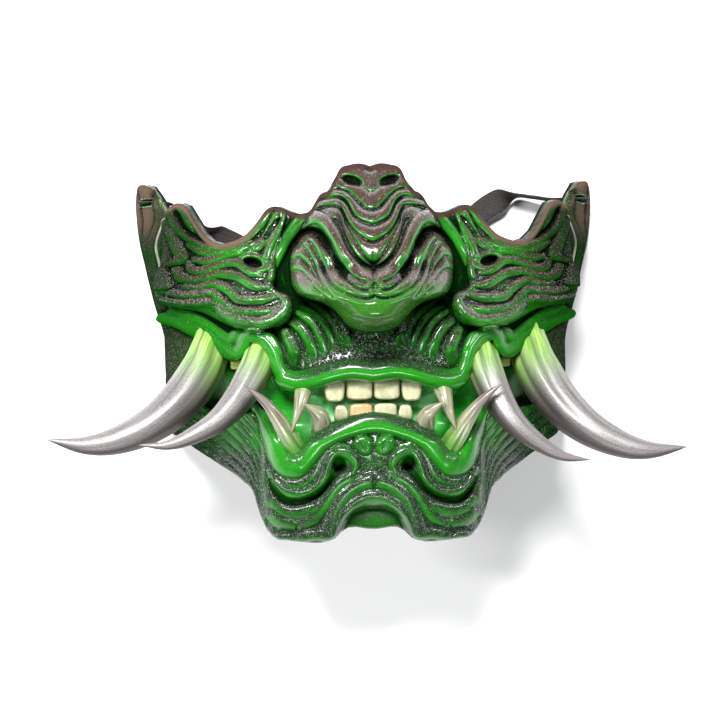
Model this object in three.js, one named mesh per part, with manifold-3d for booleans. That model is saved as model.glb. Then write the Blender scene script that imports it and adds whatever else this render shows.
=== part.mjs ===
// A half-face oni mask with tusks, fangs, teeth and an elastic strap, lying on its rim.
// Millimetres: X across the face, Y up the face, Z out of the face, the rim's flat back on Z = 0.
import * as THREE from 'three';
import { mergeVertices } from 'three/addons/utils/BufferGeometryUtils.js';
import Module from 'manifold-3d';

const wasm = await Module();
wasm.setup();

// Overall sizes of the shell
const MASK_WIDTH = 197;
const MASK_HEIGHT = 153;
const CROWN_DEPTH = 98;
const WALL = 4.5;

// Tusks, fangs and teeth
const OUTER_TUSK_DIAMETER = 18.4;
const INNER_TUSK_DIAMETER = 14.5;
const LOWER_FANG_DIAMETER = 9;
const SMALL_FANG_DIAMETER = 8.4;
const UPPER_FANG_DIAMETER = 8.4;
const INCISOR_DEPTH = 7;
const INCISOR_LEVEL = 92;
const UPPER_GUM = -6.9;
const LOWER_GUM = -24.2;
const MOLAR_DIAMETER = 6;
const MOLAR_ACROSS = 53.2;

// Strap and its slots
const STRAP_WIDTH = 10;
const STRAP_THICKNESS = 1.2;
const SLOT_SLACK = 0.7;
const SLOT_LEVEL = 9.5;
const SLOT_HEIGHT = 63.6;
const SLOT_ACROSS = 86;

// Gap that touching pieces keep
const CLEARANCE = 0.3;

// Degrees that each left tusk is set higher about its root, and each right one lower
const OUTER_TUSK_TURN = 2.6;
const INNER_TUSK_TURN = 4.9;

// Mesh steps
const COLUMNS = 33;
const ROWS = 34;
const INNER_COLUMNS = 17;
const INNER_ROWS = 12;

// The shell's outlines are drawn as a viewer sees them from in front, with U across from the middle and V up.
// That viewer stands EYE_LEVEL above the rim, and the drawing's scale holds at DRAWN_LEVEL.
const EYE_LEVEL = 990;
const DRAWN_LEVEL = 90;
const WIDTH_SCALE = MASK_WIDTH / 197;
const HEIGHT_SCALE = MASK_HEIGHT / 153;
const DEPTH_SCALE = CROWN_DEPTH / 98;

const GREEN = 0x2a8f24;
const SILVER = 0xb9b2ae;
const IVORY = 0xd8d2b0;
const BLACK = 0x1c1916;

// Small helpers
const clamp = (x, a, b) => Math.min(b, Math.max(a, x));
const mix = (a, b, t) => a + (b - a) * t;

function smooth(a, b, x) {
  const t = clamp((x - a) / (b - a), 0, 1);
  return t * t * (3 - 2 * t);
}

// Straight-line reading of a table of [at, value] pairs
function knots(table, x) {
  let i = 1;
  while (i < table.length - 1 && x > table[i][0]) i += 1;
  const [[a, p], [b, q]] = [table[i - 1], table[i]];
  return mix(p, q, clamp((x - a) / (b - a), 0, 1));
}

function curve(points, closed = false, steps = 6) {
  const knotsOf = points.map(([u, v]) => new THREE.Vector3(u, v, 0));
  const path = new THREE.CatmullRomCurve3(knotsOf, closed, 'centripetal');
  return path.getPoints(points.length * steps).map((p) => [p.x, p.y]);
}

// Nearest distance to a line, and the share of its length there
function near(line, u, v) {
  let best = Infinity;
  let share = 0;
  for (let i = 1; i < line.length; i += 1) {
    const [[a, b], [c, d]] = [line[i - 1], line[i]];
    const size = (c - a) ** 2 + (d - b) ** 2 || 1e-9;
    const t = clamp(((u - a) * (c - a) + (v - b) * (d - b)) / size, 0, 1);
    const away = Math.hypot(u - a - t * (c - a), v - b - t * (d - b));
    if (away < best) {
      best = away;
      share = (i - 1 + t) / (line.length - 1);
    }
  }
  return [best, share];
}

// Distance into a closed outline, below zero outside it
function inside(loop, u, v) {
  let odd = false;
  for (let i = 1; i < loop.length; i += 1) {
    const [[a, b], [c, d]] = [loop[i - 1], loop[i]];
    if ((b > v) !== (d > v) && u < ((c - a) * (v - b)) / (d - b) + a) odd = !odd;
  }
  const [away] = near(loop, u, v);
  return odd ? away : -away;
}

// 0 at an ellipse's centre and 1 on its edge
function ellipse(u, v, [cu, cv], [ru, rv], turn = 0) {
  const a = THREE.MathUtils.degToRad(turn);
  const x = u - cu;
  const y = v - cv;
  return Math.hypot((x * Math.cos(a) + y * Math.sin(a)) / ru, (y * Math.cos(a) - x * Math.sin(a)) / rv);
}

const dome = (e) => Math.sqrt(clamp(1 - e * e, 0, 1));

// The plain curved face under the carving: half width and crown height by V
const HALF_WIDTH = [
  [-72, 68], [-50, 72], [-28, 75.5], [-8, 78.5], [10, 79], [23, 82.5], [38, 86], [55, 89.5], [80, 90],
];
const CROWN = [[-72, 82], [-60, 88], [-45, 93], [-20, 97], [0, 98], [20, 98], [40, 96], [60, 92], [78, 84]];
const FULLNESS = 2.2;

// The ear flaps lean in by EAR_FLARE at their top, over the lowest FLARE_DEPTH of the side
const EAR_FLARE = 6.5;
const FLARE_DEPTH = 20;

// The shell's edges by U, and behind the eye by the angle round the face, where the ear flap stands
const TOP_EDGE = [
  [0, 77.6], [3, 78.6], [8, 78.2], [12.5, 76], [15.5, 69.5], [20.5, 66], [24.4, 60], [27, 58.8], [31, 59.2],
  [34, 60.4], [37.5, 61.8], [41.5, 60.6], [45.5, 55.5], [50, 50.6], [55, 48], [60.5, 47.2], [66, 50],
  [70, 56], [72.5, 61], [76.3, 63.4], [79.5, 61.5],
];
const EAR_TOP = SLOT_HEIGHT + 7.2;
const TOP_BEHIND = [
  [62, 61.5], [66, 58.6], [74, 58], [77.5, EAR_TOP - 10.2], [79.5, EAR_TOP - 9.2], [81, EAR_TOP - 7.2],
  [82.6, EAR_TOP - 3.4], [85, EAR_TOP - 1.2], [87.6, EAR_TOP], [90, EAR_TOP],
];
const BOTTOM_EDGE = [
  [0, -67.6], [13.5, -68.6], [16, -71], [20, -72.6], [28, -72.6], [34, -71.8], [39.5, -70.5], [43, -66],
  [45.5, -60], [47.5, -53], [51.5, -48], [60, -41.5], [69, -34.5], [75.5, -28], [90, -26],
];

// Outlines of the raised and sunk areas
const NOSE_HALF = [
  [11, 0], [11.5, 5], [12.4, 8.3], [14.4, 11.6], [17.2, 14.2], [20.8, 17.6], [23, 21.4], [24.6, 26.4],
  [26.2, 29.8], [28.6, 31.8], [34, 33], [42, 33], [49, 30.5], [55, 26.5], [60, 24.6], [66, 21], [70, 16],
  [78, 13], [80, 12],
];
const NOSE_RISE = [
  [11, 12], [15, 24], [22, 29], [30, 25], [37, 17], [42, 17], [50, 15], [57, 11], [62, 8], [70, 4],
  [78, 0],
];
const CHEEK_PLATE = [
  [81, 58], [78, 66], [60, 66], [36, 66], [33.5, 60], [36, 50], [38.5, 42], [38, 34], [38.5, 29], [33, 26],
  [31.6, 20], [34, 15.5], [40, 12.4], [47, 11.4], [55, 13], [61, 16.2], [67, 19.4], [73, 20.5], [79, 24],
  [81, 30], [81.5, 45],
];
const MOUTH = [
  [-8, -8], [0, -8.2], [9, -7.4], [17, -8.6], [25, -11], [31, -12.2], [36.8, -11], [39.8, -5], [41.6, 2],
  [45, 7], [50, 7], [51.6, 2.5], [54.4, 0.2], [58, 1.6], [64, 6.4], [70, 10.4], [73, 4], [73, -6], [70, -15],
  [64, -19], [56, -20], [49, -20.5], [44, -21.5], [41, -28], [38.4, -34], [35.4, -37], [32, -36.6], [28, -33],
  [22, -28], [14, -24.4], [7, -22.6], [0, -21.8], [-8, -22.6],
];
const CHIN_HOLLOW = [[-14, -90], [-14, -63], [0, -57.6], [9.4, -60], [14.6, -66], [16.4, -74], [16, -90]];
const MOUTH_DEPTH = 10.5;

// Guide lines of the carved ridges, each group from its first line to its last
const CHEEK_RIDGES = [
  [[75, 61.5], [72.5, 58], [69, 52], [60.5, 45.6], [53, 46.6], [47.5, 50.5], [43, 56], [39, 60]],
  [[75.5, 44], [72.5, 38.5], [67, 37], [60.5, 39.6], [53, 39.4], [49, 36], [45.5, 33.8], [42, 37]],
  [[76, 34], [73, 29], [67, 30.8], [61, 29.6], [55, 25.6], [49, 23.8], [42.5, 24], [37.5, 27]],
  [[76, 27.5], [71, 24], [64, 25], [59.5, 20.4], [53.5, 16.8], [46, 15.4], [38, 17.8], [33.8, 24]],
];
const MOUSTACHE_RIDGES = [
  [[30.6, 25], [24.2, 20.8], [17.8, 15.2], [14.6, 8.8], [15, 4], [18.6, 0]],
  [[37.8, 12], [35.4, 9.6], [33.4, 6.8], [32.6, 3.6], [33.4, 0], [35, -3]],
];
const JAW_RIDGES = [
  [[76.5, -27.5], [69.5, -33], [60.8, -39.6], [53, -46], [49.4, -52], [47.4, -60], [46, -68]],
  [[64, -8], [56, -14], [48.6, -21.5], [43.8, -29], [42.2, -38], [42.4, -48], [42, -60]],
];
const WING_RIDGES = [
  [[29, 47.6], [24.6, 51.4], [20.4, 50], [17, 43.6], [14.2, 36.8], [10.6, 29.4], [5, 25.4], [0, 24.4]],
  [[31.4, 44], [28, 45.4], [24.6, 40.6], [21.4, 34.8], [19.6, 29], [17.6, 24], [15, 20], [11, 17]],
];
const UPPER_LIP = [[-6, -4.4], [0, -4.8], [9, -3.8], [17, -5.2], [25, -7.4], [31, -8.2], [35.2, -7]];
const DRAPE = [
  [35.2, -7], [37.6, -3], [39, 1.5], [40.6, 5.2], [43.6, 8.8], [47.4, 10], [50.6, 9], [52, 5.4], [54.4, 3],
  [57.6, 4.4], [62, 8], [67, 11.6], [73, 15.2], [78, 17.6],
];
const DRAPE_FOLD = [[50.4, 12.4], [54, 10.2], [57, 8.6], [60.6, 10.6], [66, 14.4], [72, 18], [77, 20]];
const LOWER_LIP = [
  [-8, -26.2], [0, -25], [8, -26.2], [16, -29], [22, -33], [26.8, -38.6], [31, -42.8], [35.4, -41.8],
  [38.2, -36.6], [40.2, -30], [43, -24], [46.4, -19],
];
const CHIN_BAND = [
  [11, -34.8], [15, -34.4], [19, -35.6], [21.8, -38.4], [23.4, -42], [25, -45.6], [27.8, -48.4],
  [31.8, -49.6], [35.8, -48.8], [39, -46],
];
const VOLUTE = [
  [8.6, -44.8], [7.4, -42], [8.2, -39.2], [10.6, -37.2], [13.4, -36.4], [16.2, -37.2], [18.2, -40],
  [19.4, -43.2], [20.6, -47.2], [23, -50.4], [27, -52.8], [31.4, -53.2], [36.2, -51.6], [39.4, -48.4],
  [41, -44],
];
const CHIN_FLOW = [
  [21, -56], [23, -58.8], [27, -60], [31.4, -60.8], [35.4, -60.4], [38.6, -58.4], [40.6, -55.2],
];
const CHIN_ARCS = [
  [
    [-5, -49.2], [0.2, -48.4], [4.2, -49.2], [7.8, -50.8], [11, -53.2], [13.8, -56.4], [15.8, -60.4],
    [17, -64.8], [17.8, -68.8],
  ],
  [
    [-5, -55.2], [0.2, -54.4], [4.6, -55.2], [8.2, -57.2], [10.6, -59.6], [12.6, -62.8], [14.2, -66.4],
    [15.4, -70],
  ],
];
const NOSE_ARCH = [
  [2.4, 29.4], [1.2, 31.6], [2.2, 33.8], [5.8, 35.4], [9, 38], [12.6, 43], [15.6, 49.6], [18.8, 55.6],
  [23.2, 57.4], [28.2, 55.4], [33, 50], [36.4, 44], [38.8, 38.4], [40.2, 33.2],
];
const ARCH_GROOVE = [
  [31.6, 48], [27.6, 52], [23.4, 53.4], [19.6, 51.6], [16, 45], [12.8, 38.6], [10.6, 33.6],
];
const NOSE_STACK = [
  [[-6, 72], [0, 66], [6, 71.6], [10.5, 72.6], [13, 69]],
  [[-8, 68], [0, 62], [8, 69.4], [13.6, 70], [20.6, 65.6]],
  [[-8.6, 63.6], [0, 57.4], [8, 63], [13, 66.8], [20, 64], [23.6, 59.4]],
  [[-9, 56], [0, 49.6], [6, 52.4], [9.6, 58.4], [12.6, 63], [17.4, 62], [22, 59.4]],
];

// The guide lines, with extra lines evenly between each pair
function between(guides, extra) {
  const lines = [];
  for (let i = 1; i < guides.length; i += 1) {
    for (let k = 0; k <= extra; k += 1) {
      const t = k / (extra + 1);
      lines.push(guides[i - 1].map((p, j) => [mix(p[0], guides[i][j][0], t), mix(p[1], guides[i][j][1], t)]));
    }
  }
  return [...lines, guides.at(-1)];
}

// A rounded ridge: its line, half width, rise, and how much of its width its two ends keep
const ridge = (points, half, rise, start = 1, end = 1) => ({ line: curve(points), half, rise, start, end });

function ridgeHeight(r, u, v) {
  const [away, share] = near(r.line, u, v);
  const first = mix(r.start, 1, smooth(0, 0.18, share));
  const last = mix(r.end, 1, smooth(0, 0.18, 1 - share));
  const width = Math.min(first, last);
  return r.rise * width * dome(away / (r.half * width));
}

const highest = (ridges, u, v) => ridges.reduce((h, r) => Math.max(h, ridgeHeight(r, u, v)), 0);

const cheekRidges = between(CHEEK_RIDGES, 0).map((p) => ridge(p, 3.2, 2.2, 0.8, 0.6));
const moustacheRidges = between(MOUSTACHE_RIDGES, 2).map((p) => ridge(p, 3, 3.2, 0.6, 0.35));
const jawRidges = between(JAW_RIDGES, 3).map((p) => ridge(p, 2.8, 2.4));
const wingRidges = between(WING_RIDGES, 1).map((p) => ridge(p, 3, 2.2, 0.7, 0.3));
const stackRidges = NOSE_STACK.map((p) => ridge(p, 3, 2.8, 1, 0.6));
const archRidge = [ridge(NOSE_ARCH, 2.8, 3.4, 0.8, 0.6)];
const archGroove = [ridge(ARCH_GROOVE, 2.2, 6, 0.5, 0.3)];
const lips = [
  ridge(UPPER_LIP, 4.4, 5.6, 1, 0.95),
  ridge(DRAPE, 3, 4.2, 1.5, 0.8),
  ridge(LOWER_LIP, 4.4, 5.2, 1, 0.45),
];
const folds = [ridge(DRAPE_FOLD, 2.4, 2.4, 0.4, 0.6)];
const chinRidges = [
  ridge(CHIN_BAND, 2.6, 2.4, 0.6, 0.6),
  ridge(VOLUTE, 2.3, 3, 0.6, 0.6),
  ridge(CHIN_FLOW, 2.6, 2.4, 0.6, 0.5),
  ...CHIN_ARCS.map((p) => ridge(p, 2.6, 2.5)),
];
const plateLoop = curve(CHEEK_PLATE, true);
const mouthLoop = curve(MOUTH, true);
const hollowLoop = curve(CHIN_HOLLOW, true);

const halfWidth = (v) => knots(HALF_WIDTH, v);

// Height of the carving over the plain face, from the raised areas down to the ridges
function carving(u, v) {
  const noseIn = knots(NOSE_HALF, v) - u;
  const across = clamp(1 - noseIn / Math.max(knots(NOSE_HALF, v), 0.01), 0, 1);
  const onNose = smooth(0, 1, noseIn) * smooth(10.8, 11.6, v);
  const nose = onNose * (knots(NOSE_RISE, v) * (1 - across ** 2.4) ** 0.55 + 1.5);
  const plateIn = inside(plateLoop, u, v);
  const onPlate = smooth(-0.2, 0.6, plateIn);
  const plate = onPlate * (1.5 + 5.5 * smooth(52, 24, v)) * dome(1 - clamp(plateIn / 3.4, 0, 1));
  const inMouth = smooth(-0.3, 0.9, inside(mouthLoop, u, v)) * smooth(73, 62, u);
  const chin = 3 * smooth(42.6, 40.4, u) * smooth(-24, -34, v);
  const hollow = 4.5 * smooth(-0.4, 2.4, inside(hollowLoop, u, v));
  const open = (1 - onPlate) * (1 - onNose) * (1 - inMouth);
  const corner = 6 * dome(ellipse(u, v, [31.8, -41.8], [6.2, 5.6], 20));
  const lip = Math.max(highest(lips, u, v), corner, open * highest(folds, u, v));
  const offLip = 1 - smooth(0.3, 1.5, lip);
  const arch = highest(archRidge, u, v) * (1 - inMouth);
  const offArch = 1 - smooth(0.4, 1.6, arch);
  let h = plate * (1 - onNose) + nose + chin - hollow;
  h += onPlate * highest(cheekRidges, u, v);
  h += Math.max(open * highest(moustacheRidges, u, v), lip) - MOUTH_DEPTH * inMouth * offLip;
  h += open * offLip * smooth(41.6, 42.4, u) * highest(jawRidges, u, v);
  h += open * offLip * highest(chinRidges, u, v);
  h += onNose * offArch * Math.max(highest(wingRidges, u, v), highest(stackRidges, u, v));
  h += arch - highest(archGroove, u, v);
  h -= 4.5 * smooth(1.15, 0.6, ellipse(u, v, [47.4, 39.4], [3.6, 1.9], 12));
  h -= 4.5 * smooth(1.15, 0.4, ellipse(u, v, [13.8, -42], [3, 3.6], -25));
  h -= 3.6 * smooth(1.2, 0.4, ellipse(u, v, [7.3, 71.9], [4.6, 2], 16));
  return h;
}

// Waves that run up the sides, which the front view can't show
function sideWaves(v, z) {
  const phase = (z + 0.35 * v + 5 * Math.sin(v / 13)) / 11;
  return 1.6 * dome(2 * (phase - Math.floor(phase)) - 1);
}

// A point seen at U and V from in front, at its true place
function place(u, v, z) {
  const level = z * DEPTH_SCALE;
  const taper = (EYE_LEVEL - level) / (EYE_LEVEL - DRAWN_LEVEL);
  return new THREE.Vector3(u * taper * WIDTH_SCALE, v * taper * HEIGHT_SCALE, level);
}

const QUARTER = Math.PI / 2;

// The plain face at an angle round it, and the way out of it there
function face(angle, v) {
  const share = Math.sin(angle) ** (2 / FULLNESS);
  const lift = Math.cos(angle) ** (2 / FULLNESS);
  const [w, c] = [halfWidth(v), knots(CROWN, v)];
  const behind = smooth(0.86, 0.985, share) * clamp((c * lift) / FLARE_DEPTH, 0, 1);
  const flare = EAR_FLARE * smooth(44, 60, v) * behind;
  const out = new THREE.Vector2(share ** (FULLNESS - 1) / w, lift ** (FULLNESS - 1) / c).normalize();
  return { u: w * share - flare, z: c * lift, share, out };
}

// The edge's V at an angle round the face, where its table is read by U
function edgeAt(angle, table) {
  let v = 0;
  for (let i = 0; i < 12; i += 1) v = mix(v, knots(table, face(angle, v).u), 0.7);
  return v;
}

function edges(angle) {
  const turned = THREE.MathUtils.radToDeg(angle);
  const front = edgeAt(angle, TOP_EDGE);
  return [edgeAt(angle, BOTTOM_EDGE), mix(front, knots(TOP_BEHIND, turned), smooth(60, 63, turned))];
}

// The shell's outer or inner surface as columns of points, from the middle to the rim
function surface(columns, rows, sink) {
  const points = [];
  const heights = sink ? innerHeights(columns, rows) : null;
  for (let i = 0; i <= columns; i += 1) {
    const angle = angleOf(i / columns);
    const [low, high] = edges(angle);
    const column = [];
    for (let j = 0; j <= rows; j += 1) {
      const v = mix(low, high, j / rows);
      const { u, z, share, out } = face(angle, v);
      const level = Math.max(0, i === columns ? 0 : z);
      const h = sink ? heights[i][j] : spreadHeight(u, v);
      const turn = smooth(0.8, 0.99, share);
      const side = smooth(0.93, 0.985, share) * (sink ? 0 : sideWaves(v, level));
      const across = i === 0 ? 0 : u + turn * Math.max(h, sink ? -1 : h) + side - sink * out.x;
      const forward = i === columns ? 0 : level + (1 - turn) * h - sink * out.y;
      column.push([across, v, Math.max(forward, 0)]);
    }
    points.push(column);
  }
  return points;
}

// The angle round the face at a share of the columns, closer together in front
const angleOf = (share) => QUARTER * (0.8 * share + 0.2 * share ** 3);

// The carving as a mesh of this step can hold it: the mean of places round the point
function spreadHeight(u, v) {
  let sum = carving(u, v);
  for (let k = 0; k < 8; k += 1) {
    const a = (k / 8) * 2 * Math.PI;
    const reach = k % 2 ? 1.4 : 0.8;
    sum += carving(Math.abs(u + reach * Math.cos(a)), v + reach * Math.sin(a));
  }
  return sum / 9;
}

// The inside follows the lowest of the carving round each point, smoothed
function lowestHeight(u, v) {
  let low = carving(u, v);
  for (let k = 0; k < 16; k += 1) {
    const a = (k / 16) * 2 * Math.PI;
    const reach = k % 2 ? 4 : 8;
    low = Math.min(low, carving(Math.abs(u + reach * Math.cos(a)), v + reach * Math.sin(a)));
  }
  return low;
}

function innerHeights(columns, rows) {
  let table = [];
  for (let i = 0; i <= columns; i += 1) {
    const angle = angleOf(i / columns);
    const [low, high] = edges(angle);
    const levels = Array.from({ length: rows + 1 }, (_, j) => mix(low, high, j / rows));
    table.push(levels.map((v) => lowestHeight(face(angle, v).u, v)));
  }
  const at = (i, j) => table[Math.min(Math.abs(i), columns)][clamp(j, 0, rows)];
  const mean = (i, j) => (2 * at(i, j) + at(i - 1, j) + at(i + 1, j) + at(i, j - 1) + at(i, j + 1)) / 6;
  for (let pass = 0; pass < 2; pass += 1) {
    table = table.map((column, i) => column.map((_, j) => mean(i, j)));
  }
  return table;
}

// Faces between two rows of points along one edge of the shell, whose ends meet the same corners
function zip(faces, a, b) {
  let [i, j] = [0, 0];
  while (i < a.length - 1 || j < b.length - 1) {
    const nextA = (i + 1) / (a.length - 1);
    const nextB = (j + 1) / (b.length - 1);
    if (j === b.length - 1 || (i < a.length - 1 && nextA <= nextB)) {
      faces.push(a[i], a[i + 1], b[j]);
      i += 1;
    } else {
      faces.push(a[i], b[j + 1], b[j]);
      j += 1;
    }
  }
}

function geometryOf(points, faces) {
  const geometry = new THREE.BufferGeometry();
  geometry.setAttribute('position', new THREE.Float32BufferAttribute(points.flatMap((p) => p.toArray()), 3));
  geometry.setIndex(faces);
  return geometry;
}

// One surface of the shell, left half mirrored, as points and a table of their numbers
function sheet(points, columns, rows, sink) {
  const half = surface(columns, rows, sink);
  const table = [];
  for (let i = -columns; i <= columns; i += 1) {
    table.push(half[Math.abs(i)].map(([u, v, z]) => points.push(place(i < 0 ? -u : u, v, z)) - 1));
  }
  return table;
}

function shellGeometry() {
  const points = [];
  const outer = sheet(points, COLUMNS, ROWS, 0);
  const inner = sheet(points, INNER_COLUMNS, INNER_ROWS, WALL);
  const faces = [];
  const tile = (t, flip) => {
    for (let i = 1; i < t.length; i += 1) {
      for (let j = 1; j < t[i].length; j += 1) {
        let [a, b, c, d] = [t[i - 1][j - 1], t[i][j - 1], t[i][j], t[i - 1][j]];
        const along = Math.abs(points[a].z - points[c].z) < Math.abs(points[b].z - points[d].z);
        if (!along) [a, b, c, d] = [b, c, d, a];
        if (flip) faces.push(a, c, b, a, d, c);
        else faces.push(a, b, c, a, c, d);
      }
    }
  };
  tile(outer, false);
  tile(inner, true);
  zip(faces, outer[0], inner[0]);
  zip(faces, inner.at(-1), outer.at(-1));
  zip(faces, inner.map((c) => c[0]), outer.map((c) => c[0]));
  zip(faces, outer.map((c) => c.at(-1)), inner.map((c) => c.at(-1)));
  return geometryOf(points, faces);
}

// A curved horn: its path from root to tip, diameter, the shape of its taper, and the share of the diameter
// at its root; grow widens it for a socket
function hornGeometry({ path, diameter, fullness, neck, steps }, grow = 0) {
  const sides = 8;
  const bend = new THREE.CatmullRomCurve3(path.map((p) => place(...p)), false, 'centripetal');
  const points = [];
  const faces = [];
  const up = new THREE.Vector3(0, 0, 1);
  const tip = bend.getPoint(1);
  for (let i = 0; i < steps; i += 1) {
    const t = i / steps;
    const along = bend.getTangentAt(t);
    const across = new THREE.Vector3().crossVectors(up, along).normalize();
    const out = new THREE.Vector3().crossVectors(along, across);
    const swell = mix(neck, 1, smooth(0, 0.3, t));
    const radius = (diameter / 2) * swell * (1 - t ** fullness) ** 0.9 + grow;
    const centre = bend.getPointAt(t).addScaledVector(along, i === 0 ? -grow : 0);
    for (let k = 0; k < sides; k += 1) {
      const a = (k / sides) * 2 * Math.PI;
      const point = centre.clone().addScaledVector(across, radius * Math.cos(a));
      points.push(point.addScaledVector(out, radius * Math.sin(a)));
    }
  }
  const ring = (i, k) => i * sides + ((k + sides) % sides);
  const first = points.push(bend.getPoint(0).addScaledVector(bend.getTangent(0), -grow)) - 1;
  const last = points.push(tip.addScaledVector(bend.getTangent(1), grow)) - 1;
  for (let k = 0; k < sides; k += 1) {
    faces.push(first, ring(0, k + 1), ring(0, k));
    for (let i = 1; i < steps; i += 1) {
      const [a, b, c, d] = [ring(i - 1, k), ring(i - 1, k + 1), ring(i, k + 1), ring(i, k)];
      faces.push(a, b, c, a, c, d);
    }
    faces.push(ring(steps - 1, k), ring(steps - 1, k + 1), last);
  }
  return geometryOf(points, faces);
}

// A flat tooth: a rounded block that narrows towards its biting edge
function toothGeometry({ at, size, way, point = 0 }, grow = 0) {
  const sides = 8;
  const [width, height, depth] = [size[0] * WIDTH_SCALE, size[1] * HEIGHT_SCALE, size[2]];
  const centre = place(...at);
  const points = [];
  const faces = [];
  const levels = [[-1, 0.74], [-0.75, 0.95], [0.2, 1], [1, 0.9]];
  for (const [level, share] of levels) {
    for (let k = 0; k < sides; k += 1) {
      const a = (k / sides) * 2 * Math.PI;
      const square = Math.max(Math.abs(Math.cos(a)), Math.abs(Math.sin(a))) ** -0.6;
      const slope = 1 - point * Math.max(0, -level);
      const x = (width / 2 + grow) * share * slope * square * Math.cos(a);
      const y = (height / 2 + grow) * level;
      const out = (depth / 2 + grow) * share * square * Math.sin(a);
      points.push(new THREE.Vector3(-way * x, -way * y, out).add(centre));
    }
  }
  const ring = (i, k) => i * sides + (k % sides);
  for (let k = 0; k < sides; k += 1) {
    for (let i = 1; i < levels.length; i += 1) {
      const [a, b, c, d] = [ring(i - 1, k), ring(i, k), ring(i, k + 1), ring(i - 1, k + 1)];
      faces.push(a, b, c, a, c, d);
    }
  }
  for (let k = 1; k < sides - 1; k += 1) {
    faces.push(ring(0, 0), ring(0, k), ring(0, k + 1));
    faces.push(ring(levels.length - 1, 0), ring(levels.length - 1, k + 1), ring(levels.length - 1, k));
  }
  return geometryOf(points, faces);
}

// The strap's route, each point with the direction of its width
const FLAT = [0, 1, 0];
const UPRIGHT = [0, 0, 1];
const STRAP_ROUTE = [
  [-90, SLOT_HEIGHT, SLOT_LEVEL, UPRIGHT], [-80, SLOT_HEIGHT, SLOT_LEVEL, UPRIGHT], [-75, 61.8, 8.5, UPRIGHT],
  [-69, 57.5, 6.5, FLAT], [-60, 51, 4, FLAT], [-48, 44.5, 1.4, FLAT], [-36, 33, 1.4, FLAT],
  [-24, 17, 1.4, FLAT], [-8, 3, 1.4, FLAT], [10, 2, 1.4, FLAT], [24, 14, 1.4, FLAT], [32, 33, 1.4, FLAT],
  [40, 51, 2.4, FLAT], [49, 60.5, 4.4, FLAT], [59, 65, 6.4, FLAT], [67, 64.6, 8, FLAT],
  [74, SLOT_HEIGHT, 9, UPRIGHT], [82, SLOT_HEIGHT, SLOT_LEVEL, UPRIGHT],
  [90, SLOT_HEIGHT, SLOT_LEVEL, UPRIGHT],
];
const STRAP_STEPS = 40;

function strapGeometry() {
  const route = STRAP_ROUTE.map(([u, v, z]) => place(u, v, z));
  const middle = new THREE.CatmullRomCurve3(route, false, 'centripetal');
  const points = [];
  const faces = [];
  for (let i = 0; i <= STRAP_STEPS; i += 1) {
    const t = i / STRAP_STEPS;
    const at = t * (STRAP_ROUTE.length - 1);
    const k = Math.min(Math.floor(at), STRAP_ROUTE.length - 2);
    const along = middle.getTangent(t);
    const [before, after] = [STRAP_ROUTE[k][3], STRAP_ROUTE[k + 1][3]].map((d) => new THREE.Vector3(...d));
    const wide = before.lerp(after, smooth(0, 1, at - k));
    wide.addScaledVector(along, -wide.dot(along)).normalize();
    const thick = new THREE.Vector3().crossVectors(along, wide);
    const corners = [[-1, -1], [1, -1], [1, 1], [-1, 1]];
    for (const [a, b] of corners) {
      const corner = middle.getPoint(t).addScaledVector(wide, (a * STRAP_WIDTH) / 2);
      points.push(corner.addScaledVector(thick, (b * STRAP_THICKNESS) / 2));
    }
    for (let c = 0; c < 4 && i > 0; c += 1) {
      const [p, q] = [4 * i + c, 4 * i + ((c + 1) % 4)];
      faces.push(p - 4, q - 4, q, p - 4, q, p);
    }
  }
  const end = 4 * STRAP_STEPS;
  faces.push(0, 2, 1, 0, 3, 2, end, end + 1, end + 2, end, end + 2, end + 3);
  return geometryOf(points, faces);
}

// A block that cuts the strap's slot through one ear flap
function slotGeometry(side) {
  const centre = place(side * SLOT_ACROSS, SLOT_HEIGHT, SLOT_LEVEL);
  const long = STRAP_WIDTH + 2 * SLOT_SLACK;
  const high = STRAP_THICKNESS + 2 * SLOT_SLACK;
  const box = new THREE.BoxGeometry(20, high, long);
  box.translate(centre.x, centre.y, centre.z);
  return box;
}

// Pieces set into the shell
const SIDES = [[1, 'right'], [-1, 'left']];
const bothSides = (name, piece) => SIDES.map(([side, word]) => ({ ...piece(side), name: `${name}_${word}` }));

// A horn on both sides, its path turned about its root by some degrees
function horn(name, path, { turn = 0, ...shape }) {
  const [rootU, rootV] = path[0];
  const onSide = (side) => path.map(([u, v, z]) => {
    const a = -side * THREE.MathUtils.degToRad(turn);
    const [x, y] = [u - rootU, v - rootV];
    const across = rootU + x * Math.cos(a) - y * Math.sin(a);
    return [side * across, rootV + y * Math.cos(a) + x * Math.sin(a), z];
  });
  return bothSides(name, (side) => ({ path: onSide(side), neck: 1, ...shape }));
}

const OUTER_TUSK = [
  [62, 9.6, 57.5], [63.4, 5.6, 61], [67, -3.4, 67], [74.7, -15.2, 73], [86, -25.6, 79], [99.8, -32.6, 83],
  [113, -35.2, 86], [128.3, -33.4, 87],
];
const INNER_TUSK = [
  [42.6, 5.6, 77], [43.9, 1.6, 81.5], [46.4, -5, 87], [51.4, -14.7, 92], [59, -24.5, 96], [69.5, -32, 98],
  [79.6, -36.5, 99], [90.6, -37.2, 99],
];
const LOWER_FANG = [
  [29.6, -37, 88], [33.4, -31, 93], [38.4, -23, 98], [43.6, -16.4, 101.5], [52.2, -9.2, 103],
];
const SMALL_FANG = [[20.5, -31, 86], [20.6, -26.4, 93], [22, -21.6, 98.5], [27.6, -17.4, 102]];
const UPPER_FANG = [[26.4, -7, 88], [28, -12.6, 94], [30, -20, 97.5], [33, -28.6, 98.5]];

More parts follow.
